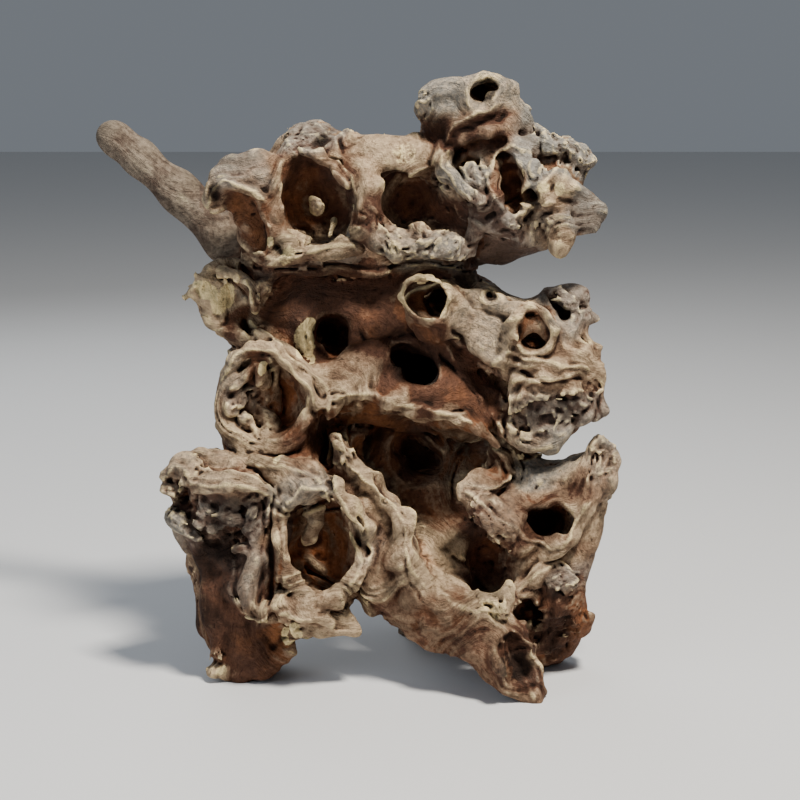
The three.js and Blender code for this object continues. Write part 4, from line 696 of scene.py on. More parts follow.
# Crust, cracks, ledges and tints lie on the front as the photograph shows them: (column, row, radius).
relief = {
    "lumps": [(23, 1.5, 11), (10, 0.4, 14)],  # (size, height, seed) in millimetres
    "combed": [(10, 1.2, 12), (5, 0.6, 13)],  # lumps drawn out along the grain
    "folds": [(17, 2.4, 21), (8, 1.0, 22)],  # sharp creases between rounded folds
    "foldShare": 0.42,  # along the grain each pattern is drawn out to one over its share
    "combedShare": 0.35,
    "grainShare": 0.10,
    "foldWidth": 0.3,  # of the noise's swing
    "cragWidth": 0.42,
    "foldWarp": 3,  # how far noises carry the patterns aside, in millimetres
    "crustWarp": 5,
    "wander": 3,  # how far the drawn spots and lines stray, in pixels
    "grainHeight": 1.1,
    "grainSize": 3.4,
    "crags": [(11, 2.2, 211), (5, 0.8, 212)],  # on the crust spots
    "chips": [(9, 1.7, 251), (5, 1.1, 256)],
    "ragged": [(11, 1.6, 241), (5, 0.7, 242)],  # along the raised lips
    "pitSize": 10,
    "pitDepth": 2.2,
    "deepest": 5,
    "highest": 3.5,
    "crust": [
        (298, 140, 17), (318, 134, 15), (350, 139, 12), (388, 236, 18), (408, 240, 20), (430, 240, 20),
        (456, 250, 16), (372, 218, 13), (424, 100, 12), (420, 112, 10), (545, 138, 18), (566, 148, 18),
        (582, 160, 16), (548, 168, 12), (478, 172, 13), (512, 230, 13), (538, 220, 13), (468, 196, 10),
        (186, 508, 20), (206, 520, 22), (232, 522, 20), (252, 512, 16), (178, 484, 14), (244, 545, 13),
        (600, 466, 16), (606, 448, 12), (564, 583, 17), (482, 512, 16), (508, 540, 12), (536, 414, 22),
        (564, 408, 22), (590, 392, 14), (520, 430, 14), (566, 298, 13), (584, 306, 10), (248, 400, 18),
        (262, 420, 14), (196, 292, 9), (495, 608, 14), (536, 652, 12), (308, 246, 12), (232, 280, 12),
        (264, 294, 10), (345, 448, 9), (308, 337, 9), (550, 632, 22, 1.3), (570, 612, 16, 1.2),
        (540, 606, 12), (316, 204, 8, 0.7), (215, 662, 12), (292, 632, 12), (196, 470, 12),
    ],
    "calm": [  # where the wood is smooth
        (300, 295, 34), (350, 300, 36), (400, 325, 30), (300, 340, 18), (450, 388, 26), (480, 410, 18),
        (424, 398, 14), (308, 462, 24), (206, 600, 22), (226, 640, 28), (262, 655, 24), (430, 575, 26),
        (450, 612, 20), (213, 296, 14), (204, 477, 12), (232, 488, 12), (254, 494, 10), (356, 520, 10),
        (362, 550, 10), (320, 478, 12), (395, 156, 18), (485, 325, 18), (550, 470, 16), (440, 530, 20),
        (222, 172, 14), (485, 88, 20),
    ],
    "cracks": [  # ([(column, row), ...], half width in pixels, depth in millimetres)
        ([(320, 412), (326, 440), (322, 466), (334, 492), (352, 524), (366, 552)], 4.0, 5.0),
        ([(271, 498), (269, 540), (272, 575), (268, 604)], 2.2, 2.6),
        ([(279, 503), (280, 545), (277, 590)], 1.4, 1.4),
        ([(262, 500), (260, 540), (263, 580)], 1.4, 1.2),
        ([(246, 322), (248, 334), (252, 344)], 3.0, 4.0),
        ([(256, 262), (290, 270), (330, 266), (380, 266), (430, 262), (466, 266)], 3.0, 3.0),
        ([(250, 470), (262, 474), (270, 488)], 3.0, 3.2),
        ([(176, 492), (188, 500), (198, 508)], 2.4, 2.6),
        ([(470, 262), (478, 274), (488, 284)], 3.0, 4.0),
        ([(455, 325), (470, 346), (487, 363), (500, 380), (508, 402), (508, 436)], 2.6, 3.2),
        ([(440, 350), (456, 366), (470, 388), (480, 404)], 1.8, 1.6),
        ([(494, 448), (500, 462), (502, 478)], 2.6, 3.0),
        ([(456, 552), (470, 566), (486, 590)], 2.4, 2.4),
        ([(516, 446), (524, 460), (520, 476)], 1.8, 1.8),
        ([(404, 560), (410, 586), (420, 600)], 1.6, 1.6),
        ([(520, 372), (548, 384), (580, 380)], 1.8, 1.8),
        ([(394, 148), (396, 160), (390, 172)], 1.0, 0.9),
        ([(116, 139), (160, 180), (214, 228)], 0.9, 0.6),
        ([(128, 158), (172, 198), (206, 230)], 0.8, 0.5),
    ],
    "lines": [  # thin raised lips, as cracks but standing up
        ([(210, 205), (214, 190), (228, 180), (246, 184), (262, 198)], 2.0, 1.6),
        ([(254, 192), (262, 208), (270, 226), (272, 246)], 2.0, 1.6),
        ([(442, 148), (442, 167), (451, 187), (466, 199), (486, 202)], 1.6, 1.6),
        ([(449, 150), (450, 167), (459, 182), (474, 191)], 1.4, 1.4),
        ([(456, 152), (457, 166), (466, 177), (480, 184)], 1.4, 1.4),
        ([(478, 107), (466, 116), (454, 128), (445, 142)], 1.8, 1.6),
        ([(464, 98), (474, 107), (488, 110), (500, 104)], 1.8, 1.4),
        ([(496, 159), (490, 170), (483, 179)], 1.6, 1.8),
        ([(492, 163), (502, 150), (512, 142), (521, 149)], 1.8, 1.8),
        ([(486, 176), (492, 190), (500, 204), (508, 214)], 1.6, 1.4),
        ([(225, 368), (233, 354), (250, 351), (270, 353), (290, 366), (304, 386), (309, 404)], 2.2, 1.8),
        ([(329, 401), (350, 393), (378, 392), (404, 404), (428, 412), (454, 415), (470, 426)], 2.2, 2.0),
        ([(256, 322), (272, 340), (296, 360), (318, 376), (329, 386), (325, 412)], 2.4, 1.8),
        ([(404, 285), (420, 277), (440, 280), (451, 296)], 1.6, 1.2),
        ([(492, 362), (510, 353), (532, 360), (560, 368), (590, 372)], 2.4, 1.8),
        ([(286, 500), (302, 487), (328, 487), (347, 504), (360, 530), (363, 556), (352, 586)], 2.4, 1.8),
        ([(163, 476), (174, 463), (187, 471), (195, 486), (216, 486), (246, 488), (262, 498)], 2.6, 2.0),
        ([(258, 468), (284, 464), (308, 472), (330, 482)], 2.0, 1.6),
        ([(233, 560), (236, 590), (240, 612), (258, 618), (284, 618), (310, 620)], 2.2, 1.8),
        ([(344, 468), (366, 484), (388, 500), (400, 526), (406, 556), (420, 588)], 2.2, 1.8),
        ([(466, 492), (486, 508), (508, 526), (530, 544), (548, 552), (572, 536), (588, 500)], 2.4, 2.0),
        ([(521, 586), (540, 574), (560, 566), (582, 572)], 2.0, 1.8),
        ([(503, 645), (512, 664), (524, 686), (530, 702)], 2.0, 1.6),
        ([(512, 633), (530, 644), (540, 668), (542, 690)], 2.0, 1.6),
        ([(256, 249), (280, 258), (300, 257), (324, 250), (352, 250)], 2.0, 1.8),
        ([(340, 160), (353, 176), (359, 196), (358, 222)], 2.0, 1.4),
    ],
}


def spotShare(column, row, spots):
    share = np.zeros(len(column), np.float32)
    for spot in spots:
        away = np.hypot(column - spot[0], row - spot[1]) / spot[2]
        strength = spot[3] if len(spot) > 3 else 1
        share = np.maximum(share, strength * (1 - smoothStep(away, 0.65, 1.25)))
    return share


def nearLine(column, row, points, reach):
    away = np.full(len(column), reach * 3, np.float32)
    for (startColumn, startRow), (endColumn, endRow) in zip(points, points[1:]):
        alongColumn, alongRow = endColumn - startColumn, endRow - startRow
        toColumn, toRow = column - startColumn, row - startRow
        length = alongColumn**2 + alongRow**2
        share = np.clip((toColumn * alongColumn + toRow * alongRow) / length, 0, 1)
        away = np.minimum(away, np.hypot(toColumn - share * alongColumn, toRow - share * alongRow))
    return away


branchEnds = placeOf((112, 136, 46)), placeOf((232, 240, 32))


def offBranch(places, low=20, high=45):  # 0 on the straight branch, 1 on the burl
    axis = branchEnds[1] - branchEnds[0]
    share = np.clip((places - branchEnds[0]) @ axis / (axis @ axis), 0, 1)
    away = np.linalg.norm(places - branchEnds[0] - share[:, None] * axis, axis=1)
    return smoothStep(away, low, high)


band = np.nonzero(np.abs(field) < surface["bandWidth"])
bandPlaces = np.stack([gridAxes[axis][band[axis]] for axis in range(3)], axis=1)
bandValues = field[band]
bandColumn, bandRow = (v.astype(np.float32) for v in pixelsOf(bandPlaces))
skin = np.abs(bandValues) < surface["cell"]
front = {"square": 4, "squares": 220, "behind": 400, "near": 9, "far": 18}  # pixels, and millimetres
frontMap = np.full((front["squares"], front["squares"]), front["behind"], np.float32)
binOf = (bandColumn / front["square"]).astype(int), (bandRow / front["square"]).astype(int)
np.minimum.at(frontMap, (binOf[0][skin], binOf[1][skin]), bandPlaces[skin, 1])


def crustPatches(places):  # where crust lies on the back, which the picture doesn't show
    return smoothStep(softNoise(places, 38, 91), 0.12, 0.45)


def frontShare(places, column, row):  # 1 on what the picture shows, 0 on what lies behind it
    square = (column / front["square"]).astype(int), (row / front["square"]).astype(int)
    return 1 - smoothStep(places[:, 1] - frontMap[square], front["near"], front["far"])


bandFront = frontShare(bandPlaces, bandColumn, bandRow)
rough = offBranch(bandPlaces).astype(np.float32)
wander = np.stack([softNoise(bandPlaces, 14, 71 + axis) for axis in range(2)], axis=1) * relief["wander"]
uneven = 0.12 + 0.88 * rough  # the straight branch is nearly even
lift = np.zeros(len(bandValues), np.float32)
for size, height, seed in relief["lumps"]:
    lift += height * uneven * softNoise(bandPlaces, size, seed)
bandGrain = grainAcross(bandColumn, bandRow, bandPlaces[:, 1])
alongGrain = bandPlaces[:, 0] + 0.5 * bandPlaces[:, 1]


def flowPlaces(share):  # across the grain in full, and along it shrunk to this share
    return np.stack([bandGrain, share * alongGrain, share * bandPlaces[:, 2]], axis=1).astype(np.float32)


combed = flowPlaces(relief["combedShare"])
for size, height, seed in relief["combed"]:
    lift += height * uneven * softNoise(combed, size, seed)
warp = np.stack([softNoise(bandPlaces, 16, 61 + axis) for axis in range(3)], axis=1)
bent = bandPlaces + relief["crustWarp"] * warp
folded = flowPlaces(relief["foldShare"]) + relief["foldWarp"] * warp
gnarled = rough * smoothStep(softNoise(bandPlaces, 45, 64), -0.45, 0.25)
standing = 1.7 * smoothStep(softNoise(bandPlaces, 30, 65), -0.2, 0.2) - 1  # creases here, crests there
for size, height, seed in relief["folds"]:
    fold = np.clip(1 - np.abs(softNoise(folded, size, seed)) / relief["foldWidth"], 0, 1) ** 1.5
    lift += height * gnarled * standing * fold
calmShare = bandFront * spotShare(bandColumn + wander[:, 0], bandRow + wander[:, 1], relief["calm"])
lift *= 1 - 0.75 * calmShare
crustShare = bandFront * spotShare(bandColumn + wander[:, 0], bandRow + wander[:, 1], relief["crust"])
crustShare = np.maximum(crustShare, 0.8 * ((1 - bandFront) * rough * crustPatches(bandPlaces)))
print("relief placed", len(lift), round(time.time() - started, 1))

crusty = np.nonzero(crustShare > 0.03)[0]
crustPlaces = bent[crusty] + np.stack(
    [softNoise(bandPlaces[crusty], 5, 221 + axis) for axis in range(3)], axis=1
) * 2.5
for size, height, seed in relief["crags"]:
    crag = np.clip(1 - np.abs(softNoise(crustPlaces, size, seed)) / relief["cragWidth"], 0, 1)
    lift[crusty] += crustShare[crusty] * height * (0.4 - crag)
for size, height, seed in relief["chips"]:
    chip = nearestCell(crustPlaces, size, seed, chipOf)[1]
    lift[crusty] += crustShare[crusty] * height * chip

nearest, chance = nearestCell(bandPlaces, relief["pitSize"], 301, chanceOf)
pitChance = 0.04 + 0.16 * crustShare
pits = (chance < pitChance) * (1 - smoothStep(nearest, 0.10, 0.26)) * rough * (1 - calmShare)
lift -= relief["pitDepth"] * pits

streakPlaces = flowPlaces(relief["grainShare"])
streaks = softNoise(streakPlaces, relief["grainSize"], 401)
streaks = 1 - 2 * np.abs(streaks)
deepStreaks = 1 - 2 * np.abs(softNoise(streakPlaces, relief["grainSize"] * 2.4, 402))
patchy = 0.55 + 0.45 * softNoise(bandPlaces, 26, 403)
smooth = 1 - 0.75 * crustShare
lift += relief["grainHeight"] * smooth * (0.25 + 0.75 * rough) * patchy * (0.5 * streaks + 1.3 * deepStreaks)

frontPoints = np.nonzero(bandFront > 0.05)[0]
lineColumn = bandColumn[frontPoints] + 0.6 * wander[frontPoints, 0]
lineRow = bandRow[frontPoints] + 0.6 * wander[frontPoints, 1]


def pointsBeside(line, width):  # the points near a line, and how far they are in widths
    low, high = np.min(line, axis=0) - 3 * width, np.max(line, axis=0) + 3 * width
    inside = (lineColumn > low[0]) & (lineColumn < high[0]) & (lineRow > low[1]) & (lineRow < high[1])
    return frontPoints[inside], nearLine(lineColumn[inside], lineRow[inside], line, width) / width


for line, width, depth in relief["cracks"]:
    where, away = pointsBeside(line, width)
    lift[where] -= depth * bandFront[where] * (1 - smoothStep(away, 0.3, 1.3))
for line, width, height in relief["lines"]:
    where, away = pointsBeside(line, width)
    lift[where] += height * bandFront[where] * (1 - smoothStep(away, 0.2, 1.5))
    torn = bandFront[where] * (1 - smoothStep(away, 0.8, 3))
    for size, raggedHeight, seed in relief["ragged"]:
        lift[where] += raggedHeight * torn * softNoise(bandPlaces[where], size, seed)
field[band] = bandValues - np.clip(lift, -relief["deepest"], relief["highest"])
print("grain, crust, pits and cracks worked in", round(time.time() - started, 1))


def blurred(values, reach):  # the mean over a cube of that reach in millimetres, twice
    steps = max(int(round(reach / surface["cell"])), 1)
    for turn in range(2):
        for axis in range(3):
            widths = [(steps + 1, steps) if a == axis else (0, 0) for a in range(3)]
            padded = np.pad(values, widths, mode="edge")
            sums = np.cumsum(padded, axis=axis, dtype=np.float32)
            high = [slice(2 * steps + 1, None) if a == axis else slice(None) for a in range(3)]
            low = [slice(None, -2 * steps - 1) if a == axis else slice(None) for a in range(3)]
            values = (sums[tuple(high)] - sums[tuple(low)]) / (2 * steps + 1)
    return values


def sampled(values, cells):
    base = np.clip(np.floor(cells).astype(int), 0, np.array(values.shape) - 2)
    part = (cells - base).astype(np.float32)
    total = np.zeros(len(cells), np.float32)
    for a in (0, 1):
        for b in (0, 1):
            for c in (0, 1):
                share = np.prod(np.where((a, b, c), part, 1 - part), axis=1)
                total += share * values[base[:, 0] + a, base[:, 1] + b, base[:, 2] + c]
    return total


# Slow waves that carry every surface a few millimetres aside, as in the solids.
waves = [
    {"along": (0.061, 0.047, 0.038), "push": (0.9, 0.4, 1.0), "reach": 1.6, "phase": 0.7},
    {"along": (-0.052, 0.066, 0.083), "push": (1.0, 0.8, -0.5), "reach": 1.4, "phase": 2.1},
    {"along": (0.118, -0.074, 0.101), "push": (-0.5, 1.0, 0.8), "reach": 1.2, "phase": 4.4},
    {"along": (0.143, 0.162, -0.129), "push": (0.8, 0.5, 0.9), "reach": 0.9, "phase": 1.3},
    {"along": (-0.231, 0.187, 0.204), "push": (0.7, -0.9, 0.6), "reach": 0.7, "phase": 5.2},
]


def carriedAside(places):
    share = 0.15 + 0.85 * offBranch(places)
    carried = places.copy()
    for wave in waves:
        swing = share * wave["reach"] * np.sin(places @ np.array(wave["along"]) + wave["phase"])
        carried += swing[:, None] * np.array(wave["push"])
    return carried


# Where the wood is bare and pale, partly a painted pool of light on the left flange's face, and dark spots
# of painted shade in holes, recesses, under overhangs and on faces turned from the light: (column, row,
# radius, share), with a share of 1 unless one is given.
tints = {
    "pale": [
        (306, 337, 13, 1.2), (311, 326, 7, 1.2), (303, 350, 8, 1.2), (310, 354, 6, 1.2), (269, 240, 6, 0.7),
        (262, 372, 6, 0.8), (278, 456, 7, 0.6), (292, 250, 9, 0.6), (545, 186, 7, 0.7),
        (562, 190, 7, 0.6), (490, 612, 12, 0.5), (400, 156, 14, 0.45), (288, 256, 10, 0.5),
        # painted light: the first three spots on the next line make the lit face of the left flange pale, on
        # top of its own pale colour
        (204, 291, 11, 0.8), (226, 296, 12, 0.8), (214, 306, 12, 0.75), (293, 634, 10, 1.0),
        (219, 673, 7, 0.7), (520, 170, 6, 0.5), (395, 245, 10, 0.5),
        (426, 277, 7, 0.4), (561, 240, 8, 0.4),
    ],
    # painted shade: dark spots in holes and recesses, under overhangs and on faces turned from the light
    "paintedShade": [
        (326, 335, 15), (415, 368, 22), (418, 456, 20, 0.6), (216, 192, 9), (320, 137, 8),
        (484, 90, 12), (440, 126, 14, 0.7), (455, 154, 9), (541, 166, 6, 0.4), (534, 193, 7),
        (490, 146, 8, 0.5), (508, 141, 6, 0.4),
        (438, 300, 9), (487, 298, 5), (330, 450, 12, 0.5), (360, 540, 10, 0.8), (486, 585, 20, 0.3),
        (517, 667, 18, 1.0), (527, 611, 11), (540, 520, 20, 0.7), (248, 330, 7), (405, 212, 22, 0.1),
        (202, 568, 17, 0.85), (206, 612, 19, 0.8), (232, 518, 24, 0.7), (224, 545, 20, 0.85),
        (184, 500, 10, 0.75), (548, 634, 24, 0.55), (452, 622, 26, 0.3), (306, 440, 17, 0.2),
        (564, 309, 8), (536, 412, 16, 0.35), (560, 410, 14, 0.35), (466, 278, 12, 0.8),
        (230, 540, 18, 0.6), (360, 268, 90, 0.25), (508, 165, 8, 0.6),
    ],
}

# How the front is coloured in the photograph: (column, row, reach, weathered, warmth).
# The brown of the heart wood shows at weathered 0 and the bleached grey at 1, a little past either for
# a place that is wholly the one or the other.
# Part of these tones is painted light and shade: places in shadow are set browner and darker than their
# wood, and the lit face of the left flange paler.
tones = [
    (110, 140, 30, 0.72, 0.3), (170, 195, 40, 0.72, 0.3), (222, 242, 18, 0.7, 0.3),
    (225, 170, 16, 0.50, 0.08),
    (206, 200, 9, 0.8, 0.2), (245, 208, 14, 0.1, 0.5), (258, 235, 10, 0.12, 0.6),
    (258, 186, 9, 0.6, 0.15), (280, 222, 6, 0.45, 0.9),
    (318, 180, 22, 0.20, 0.45), (315, 204, 6, 0.66, 0.1), (332, 224, 5, 0.7, 0.2),
    (292, 212, 13, 0.35, 0.8), (310, 136, 18, 0.40, 0.05), (352, 190, 9, 0.85, 0.3),
    (290, 254, 11, 0.92, 0.3), (330, 252, 13, 0.92, 0.3), (395, 156, 22, 0.78, 0.35),
    (408, 206, 20, 0.03, 0.3),
    (446, 215, 14, 0.08, 0.3), (405, 240, 16, 0.82, 0.16), (440, 242, 14, 0.8, 0.1),
    (430, 98, 16, 1.15, 0.1),
    (490, 86, 18, 1.45, 0.15), (487, 124, 16, 0.24, 0.25), (436, 124, 11, 0.08, 0.3),
    (452, 186, 11, 0.97, 0.1),
    (475, 172, 9, 0.65, 0.1), (509, 180, 9, 0.02, 0.4), (478, 222, 15, 0.24, 0.12),
    (500, 238, 16, 0.22, 0.04),
    (540, 222, 13, 0.72, 0.2), (560, 148, 24, 0.72, 0.05), (585, 165, 12, 0.68, 0),
    (558, 190, 10, 0.92, 0.4),
    (590, 212, 15, 0.52, 0.03), (561, 238, 8, 0.7, 0.5), (510, 254, 16, 0.14, 0.06), (215, 296, 13, 1.2, 1),
    (204, 320, 10, 0.85, 0.3), (236, 322, 8, 0.15, 0.4), (240, 288, 9, 0.68, 0.2), (264, 282, 9, 0.45, 0.2),
    (300, 290, 24, 0.05, 0.25), (360, 300, 24, 0.03, 0.3), (420, 343, 20, -0.1, 0.35),
    (392, 352, 13, -0.15, 0.3),
    (452, 376, 15, -0.15, 0.3),
    (368, 336, 20, -0.05, 0.4), (470, 368, 13, -0.1, 0.3), (474, 396, 15, -0.1, 0.3),
    (262, 335, 10, 0.85, 0.4),
    (290, 358, 10, 0.88, 0.4), (315, 387, 10, 0.88, 0.4), (362, 368, 13, 0.78, 0.4),
    (350, 396, 9, 0.75, 0.6),
    (400, 404, 8, 0.75, 0.4), (450, 416, 8, 0.72, 0.4), (394, 381, 11, -0.1, 0.35),
    (424, 396, 9, -0.05, 0.35), (400, 298, 6, 0.7, 0.5), (452, 298, 6, 0.75, 0.5),
    (426, 277, 6, 0.8, 0.5), (424, 323, 6, 0.7, 0.5), (418, 300, 10, 0.12, 1.2), (230, 372, 10, 0.78, 0.2),
    (224, 420, 10, 0.75, 0.3), (280, 368, 8, 0.82, 0.3), (300, 410, 8, 0.68, 0.3),
    (262, 447, 12, 0.85, 0.5),
    (280, 400, 14, 0.4, 0.85), (248, 402, 12, 0.5, 0.15), (252, 368, 8, 0.1, 0.4), (306, 447, 17, 0.0, 0.4),
    (362, 436, 13, 0.1, 0.75), (390, 450, 13, 0.06, 0.6), (420, 455, 15, 0, 0.2), (460, 450, 18, 0.30, 0.8),
    (490, 452, 12, 0.15, 0.55), (345, 448, 7, 0.85, 0.6), (356, 474, 9, 0.88, 0.6),
    (378, 490, 10, 0.85, 0.7),
    (402, 520, 11, 0.85, 0.6), (424, 494, 13, 0.25, 0.5), (444, 505, 13, 0.25, 0.5),
    (430, 562, 18, 0.9, 0.5),
    (452, 545, 10, 0.85, 0.5), (400, 562, 10, 0.7, 0.8), (486, 560, 15, 0.15, 0.4),
    (478, 528, 11, 0.03, 0.2),
    (372, 545, 8, 0.62, 0.2), (384, 582, 10, 0.75, 0.4), (400, 608, 12, 0.45, 0.4),
    (440, 620, 17, 0.35, 0.5),
    (490, 608, 13, 0.88, 0.5), (480, 650, 16, 0.35, 0.4), (516, 670, 12, 0.0, 0.2),
    (536, 660, 7, 0.75, 0.3),
    (508, 700, 12, 0.35, 0.3), (485, 325, 22, 0.97, 0.2), (530, 334, 12, 0.25, 0.7),
    (560, 330, 14, 0.70, 0.15),
    (570, 304, 12, 0.28, 0.05), (590, 345, 10, 0.72, 0.3), (545, 366, 20, 0.7, 0.4),
    (590, 378, 11, 0.8, 0.5),
    (518, 400, 10, 0.7, 0.2), (546, 412, 15, 0.34, 0.08), (590, 402, 11, 0.45, 0.1),
    (530, 440, 13, 0.75, 0.2),
    (550, 464, 17, 1.10, 0.12), (575, 482, 12, 0.4, 0.3), (603, 465, 15, 0.7, 0.2),
    (612, 446, 8, 0.45, 0.1),
    (465, 492, 10, 0.60, 0.22), (500, 520, 15, 0.42, 0.22), (548, 520, 17, 0.02, 0.4),
    (576, 520, 11, 0.8, 0.3),
    (552, 556, 13, 0.82, 0.3), (528, 577, 11, 0.75, 0.3), (566, 583, 12, 0.36, 0.1),
    (550, 632, 20, 0.0, 0.35),
    (578, 608, 11, 0.25, 0.7), (572, 645, 13, 0.06, 0.6), (174, 470, 13, 0.62, 0.2),
    (204, 474, 13, 0.70, 0.24),
    (236, 490, 13, 0.62, 0.25), (184, 500, 8, 0.08, 0.2), (180, 515, 8, 0.7, 0.1),
    (226, 520, 17, 0.24, 0.08),
    (228, 546, 12, 0.02, 0.15), (276, 540, 8, 0.62, 0.3), (254, 565, 9, 0.3, 0.15),
    (300, 480, 18, 0.82, 0.15),
    (320, 548, 21, 0.40, 0.9), (313, 522, 7, 0.7, 0.1), (351, 520, 8, 0.85, 0.3), (362, 556, 8, 0.72, 0.2),
    (344, 592, 10, 0.72, 0.4), (203, 580, 13, 0, 0.25), (212, 622, 16, 0, 0.3), (245, 650, 20, 0, 0.45),
    (280, 640, 11, 0.08, 0.7), (240, 592, 7, 0.35, 0.15), (260, 613, 8, 0.6, 0.3),
    (300, 612, 12, 0.72, 0.5),
    (292, 631, 8, 0.88, 1), (219, 673, 8, 0.8, 0.5), (340, 626, 12, 0.85, 0.4), (275, 460, 12, 0.8, 0.5),
]


def tonesAt(column, row):
    total = np.full(len(column), 1e-5, np.float32)
    weathered = total * 0.5
    warmth = total * 0.4
    for toneColumn, toneRow, reach, weatheredHere, warmthHere in tones:
        share = np.exp(-((column - toneColumn) ** 2 + (row - toneRow) ** 2) / np.float32(reach**2))
        weathered += share * weatheredHere
        warmth += share * warmthHere
        total += share
    return weathered / total, warmth / total


# The surface mesh and what each of its points carries for the materials.
grid = openvdb.FloatGrid()
grid.copyFromArray(np.clip(field, -8, 8))
cells, quads = grid.convertToQuads(0.0)
flat = cells * surface["cell"] + gridLow
flatSingle = flat.astype(np.float32)
column, row = (v.astype(np.float32) for v in pixelsOf(flat))
facing = frontShare(flat, column, row)
occupied = (field < 0).astype(np.float32)
drift = np.stack([softNoise(flatSingle, 11, 81 + axis) for axis in range(2)], axis=1) * 3.5
weatheredFront, warmthFront = tonesAt(column, row)
backPatches = softNoise(flatSingle, 55, 92)
slope = np.stack([sampled(part, cells) for part in np.gradient(blurred(np.clip(field, -8, 8), 2))], axis=1)
slope /= np.maximum(np.linalg.norm(slope, axis=1), 1e-6)[:, None]
carried = {
    "grain": grainAcross(column, row, flatSingle[:, 1]),
    "weathered": facing * weatheredFront + (1 - facing) * (0.45 + 0.35 * backPatches),
    "warmth": facing * warmthFront + (1 - facing) * (0.35 + 0.3 * softNoise(flatSingle, 40, 93)),
    "upward": slope[:, 2],
    "bare": 1 - offBranch(flat, 12, 52),
    "hollowness": sampled(blurred(occupied, 13), cells),
    "dip": sampled(blurred(occupied, 5.5), cells),
    "crevice": sampled(blurred(occupied, 2.4), cells),
}
backSpots = (1 - facing) * offBranch(flat) * crustPatches(flatSingle)
carried["crust"] = np.maximum(facing * spotShare(column, row, relief["crust"]), 0.8 * backSpots)
for name, spots in tints.items():
    carried[name] = facing * spotShare(column + drift[:, 0], row + drift[:, 1], spots)
points = (carriedAside(flat) + picture["toOrigin"]) / 1000
easing = 0.016  # the outermost 16 mm are eased into the solids' box, which the floor closes below
for axis, (lowest, highest) in enumerate(zip(*cadBox)):
    if axis < 2:
        over = max(lowest - points[:, axis].min(), 0)
        share = np.clip((lowest + easing - points[:, axis]) / (easing + over), 0, 1)
        points[:, axis] += over * share
    over = max(points[:, axis].max() - highest, 0)
    share = np.clip((points[:, axis] - highest + easing) / (easing + over), 0, 1)
    points[:, axis] -= over * share
print("surface", len(points), "points", round(time.time() - started, 1))

wholeMesh = bpy.data.meshes.new("wholeWood")
wholeMesh.vertices.add(len(points))
wholeMesh.vertices.foreach_set("co", points.astype(np.float32).ravel())
wholeMesh.loops.add(quads.size)
wholeMesh.loops.foreach_set("vertex_index", quads.astype(np.int32).ravel())
wholeMesh.polygons.add(len(quads))
wholeMesh.polygons.foreach_set("loop_start", np.arange(0, quads.size, 4, dtype=np.int32))
wholeMesh.update()
for name, values in carried.items():
    attribute = wholeMesh.attributes.new(name, "FLOAT", "POINT")
    attribute.data.foreach_set("value", values.astype(np.float32))
whole = bpy.data.objects.new("wholeWood", wholeMesh)
bpy.context.scene.collection.objects.link(whole)


def formFrom(corners, name):
    form = bmesh.new()
    for corner in corners:
        form.verts.new(corner)
    bmesh.ops.convex_hull(form, input=form.verts)
    mesh = bpy.data.meshes.new(name)
    form.to_mesh(mesh)
    form.free()
    made = bpy.data.objects.new(name, mesh)
    bpy.context.scene.collection.objects.link(made)
    return made


def cutBy(target, tool, operation):
    cutter = target.modifiers.new("cut", "BOOLEAN")
    cutter.object = tool
    cutter.operation = operation
    cutter.solver = "MANIFOLD"
    result = bpy.data.meshes.new_from_object(target.evaluated_get(bpy.context.evaluated_depsgraph_get()))
    target.modifiers.clear()
    return result


def planesOf(tool):
    return [(np.array(face.center), np.array(face.normal)) for face in tool.data.polygons]


cutPlanes = []
onPlane = {"distance": 4e-6, "turned": 0.9999}  # in metres, and the cosine between the normals


def dropTool(tool):
    cutPlanes.extend(planesOf(tool))
    bpy.data.objects.remove(tool)


def healCut(mesh):  # points made by a cut carry nothing, so they take what their neighbours carry
    places = np.empty(len(mesh.vertices) * 3, np.float32)
    mesh.vertices.foreach_get("co", places)
    places = places.reshape(-1, 3)
    empty = np.zeros(len(places), bool)
    for middle, direction in cutPlanes:
        empty |= np.abs((places - middle) @ direction) < onPlane["distance"]
    ends = np.empty(len(mesh.edges) * 2, np.int32)
    mesh.edges.foreach_get("vertices", ends)
    ends = ends.reshape(-1, 2)
    ends = np.concatenate([ends, ends[:, ::-1]])
    values = {name: np.empty(len(places), np.float32) for name in carried}
    for name in carried:
        mesh.attributes[name].data.foreach_get("value", values[name])
    for turn in range(2):
        given = ends[empty[ends[:, 0]] & ~empty[ends[:, 1]]]
        count = np.bincount(given[:, 0], minlength=len(places))
        healed = count > 0
        for name in carried:
            sums = np.bincount(given[:, 0], weights=values[name][given[:, 1]], minlength=len(places))
            values[name][healed] = (sums[healed] / count[healed]).astype(np.float32)
        empty &= ~healed
    for name in carried:
        mesh.attributes[name].data.foreach_set("value", values[name])


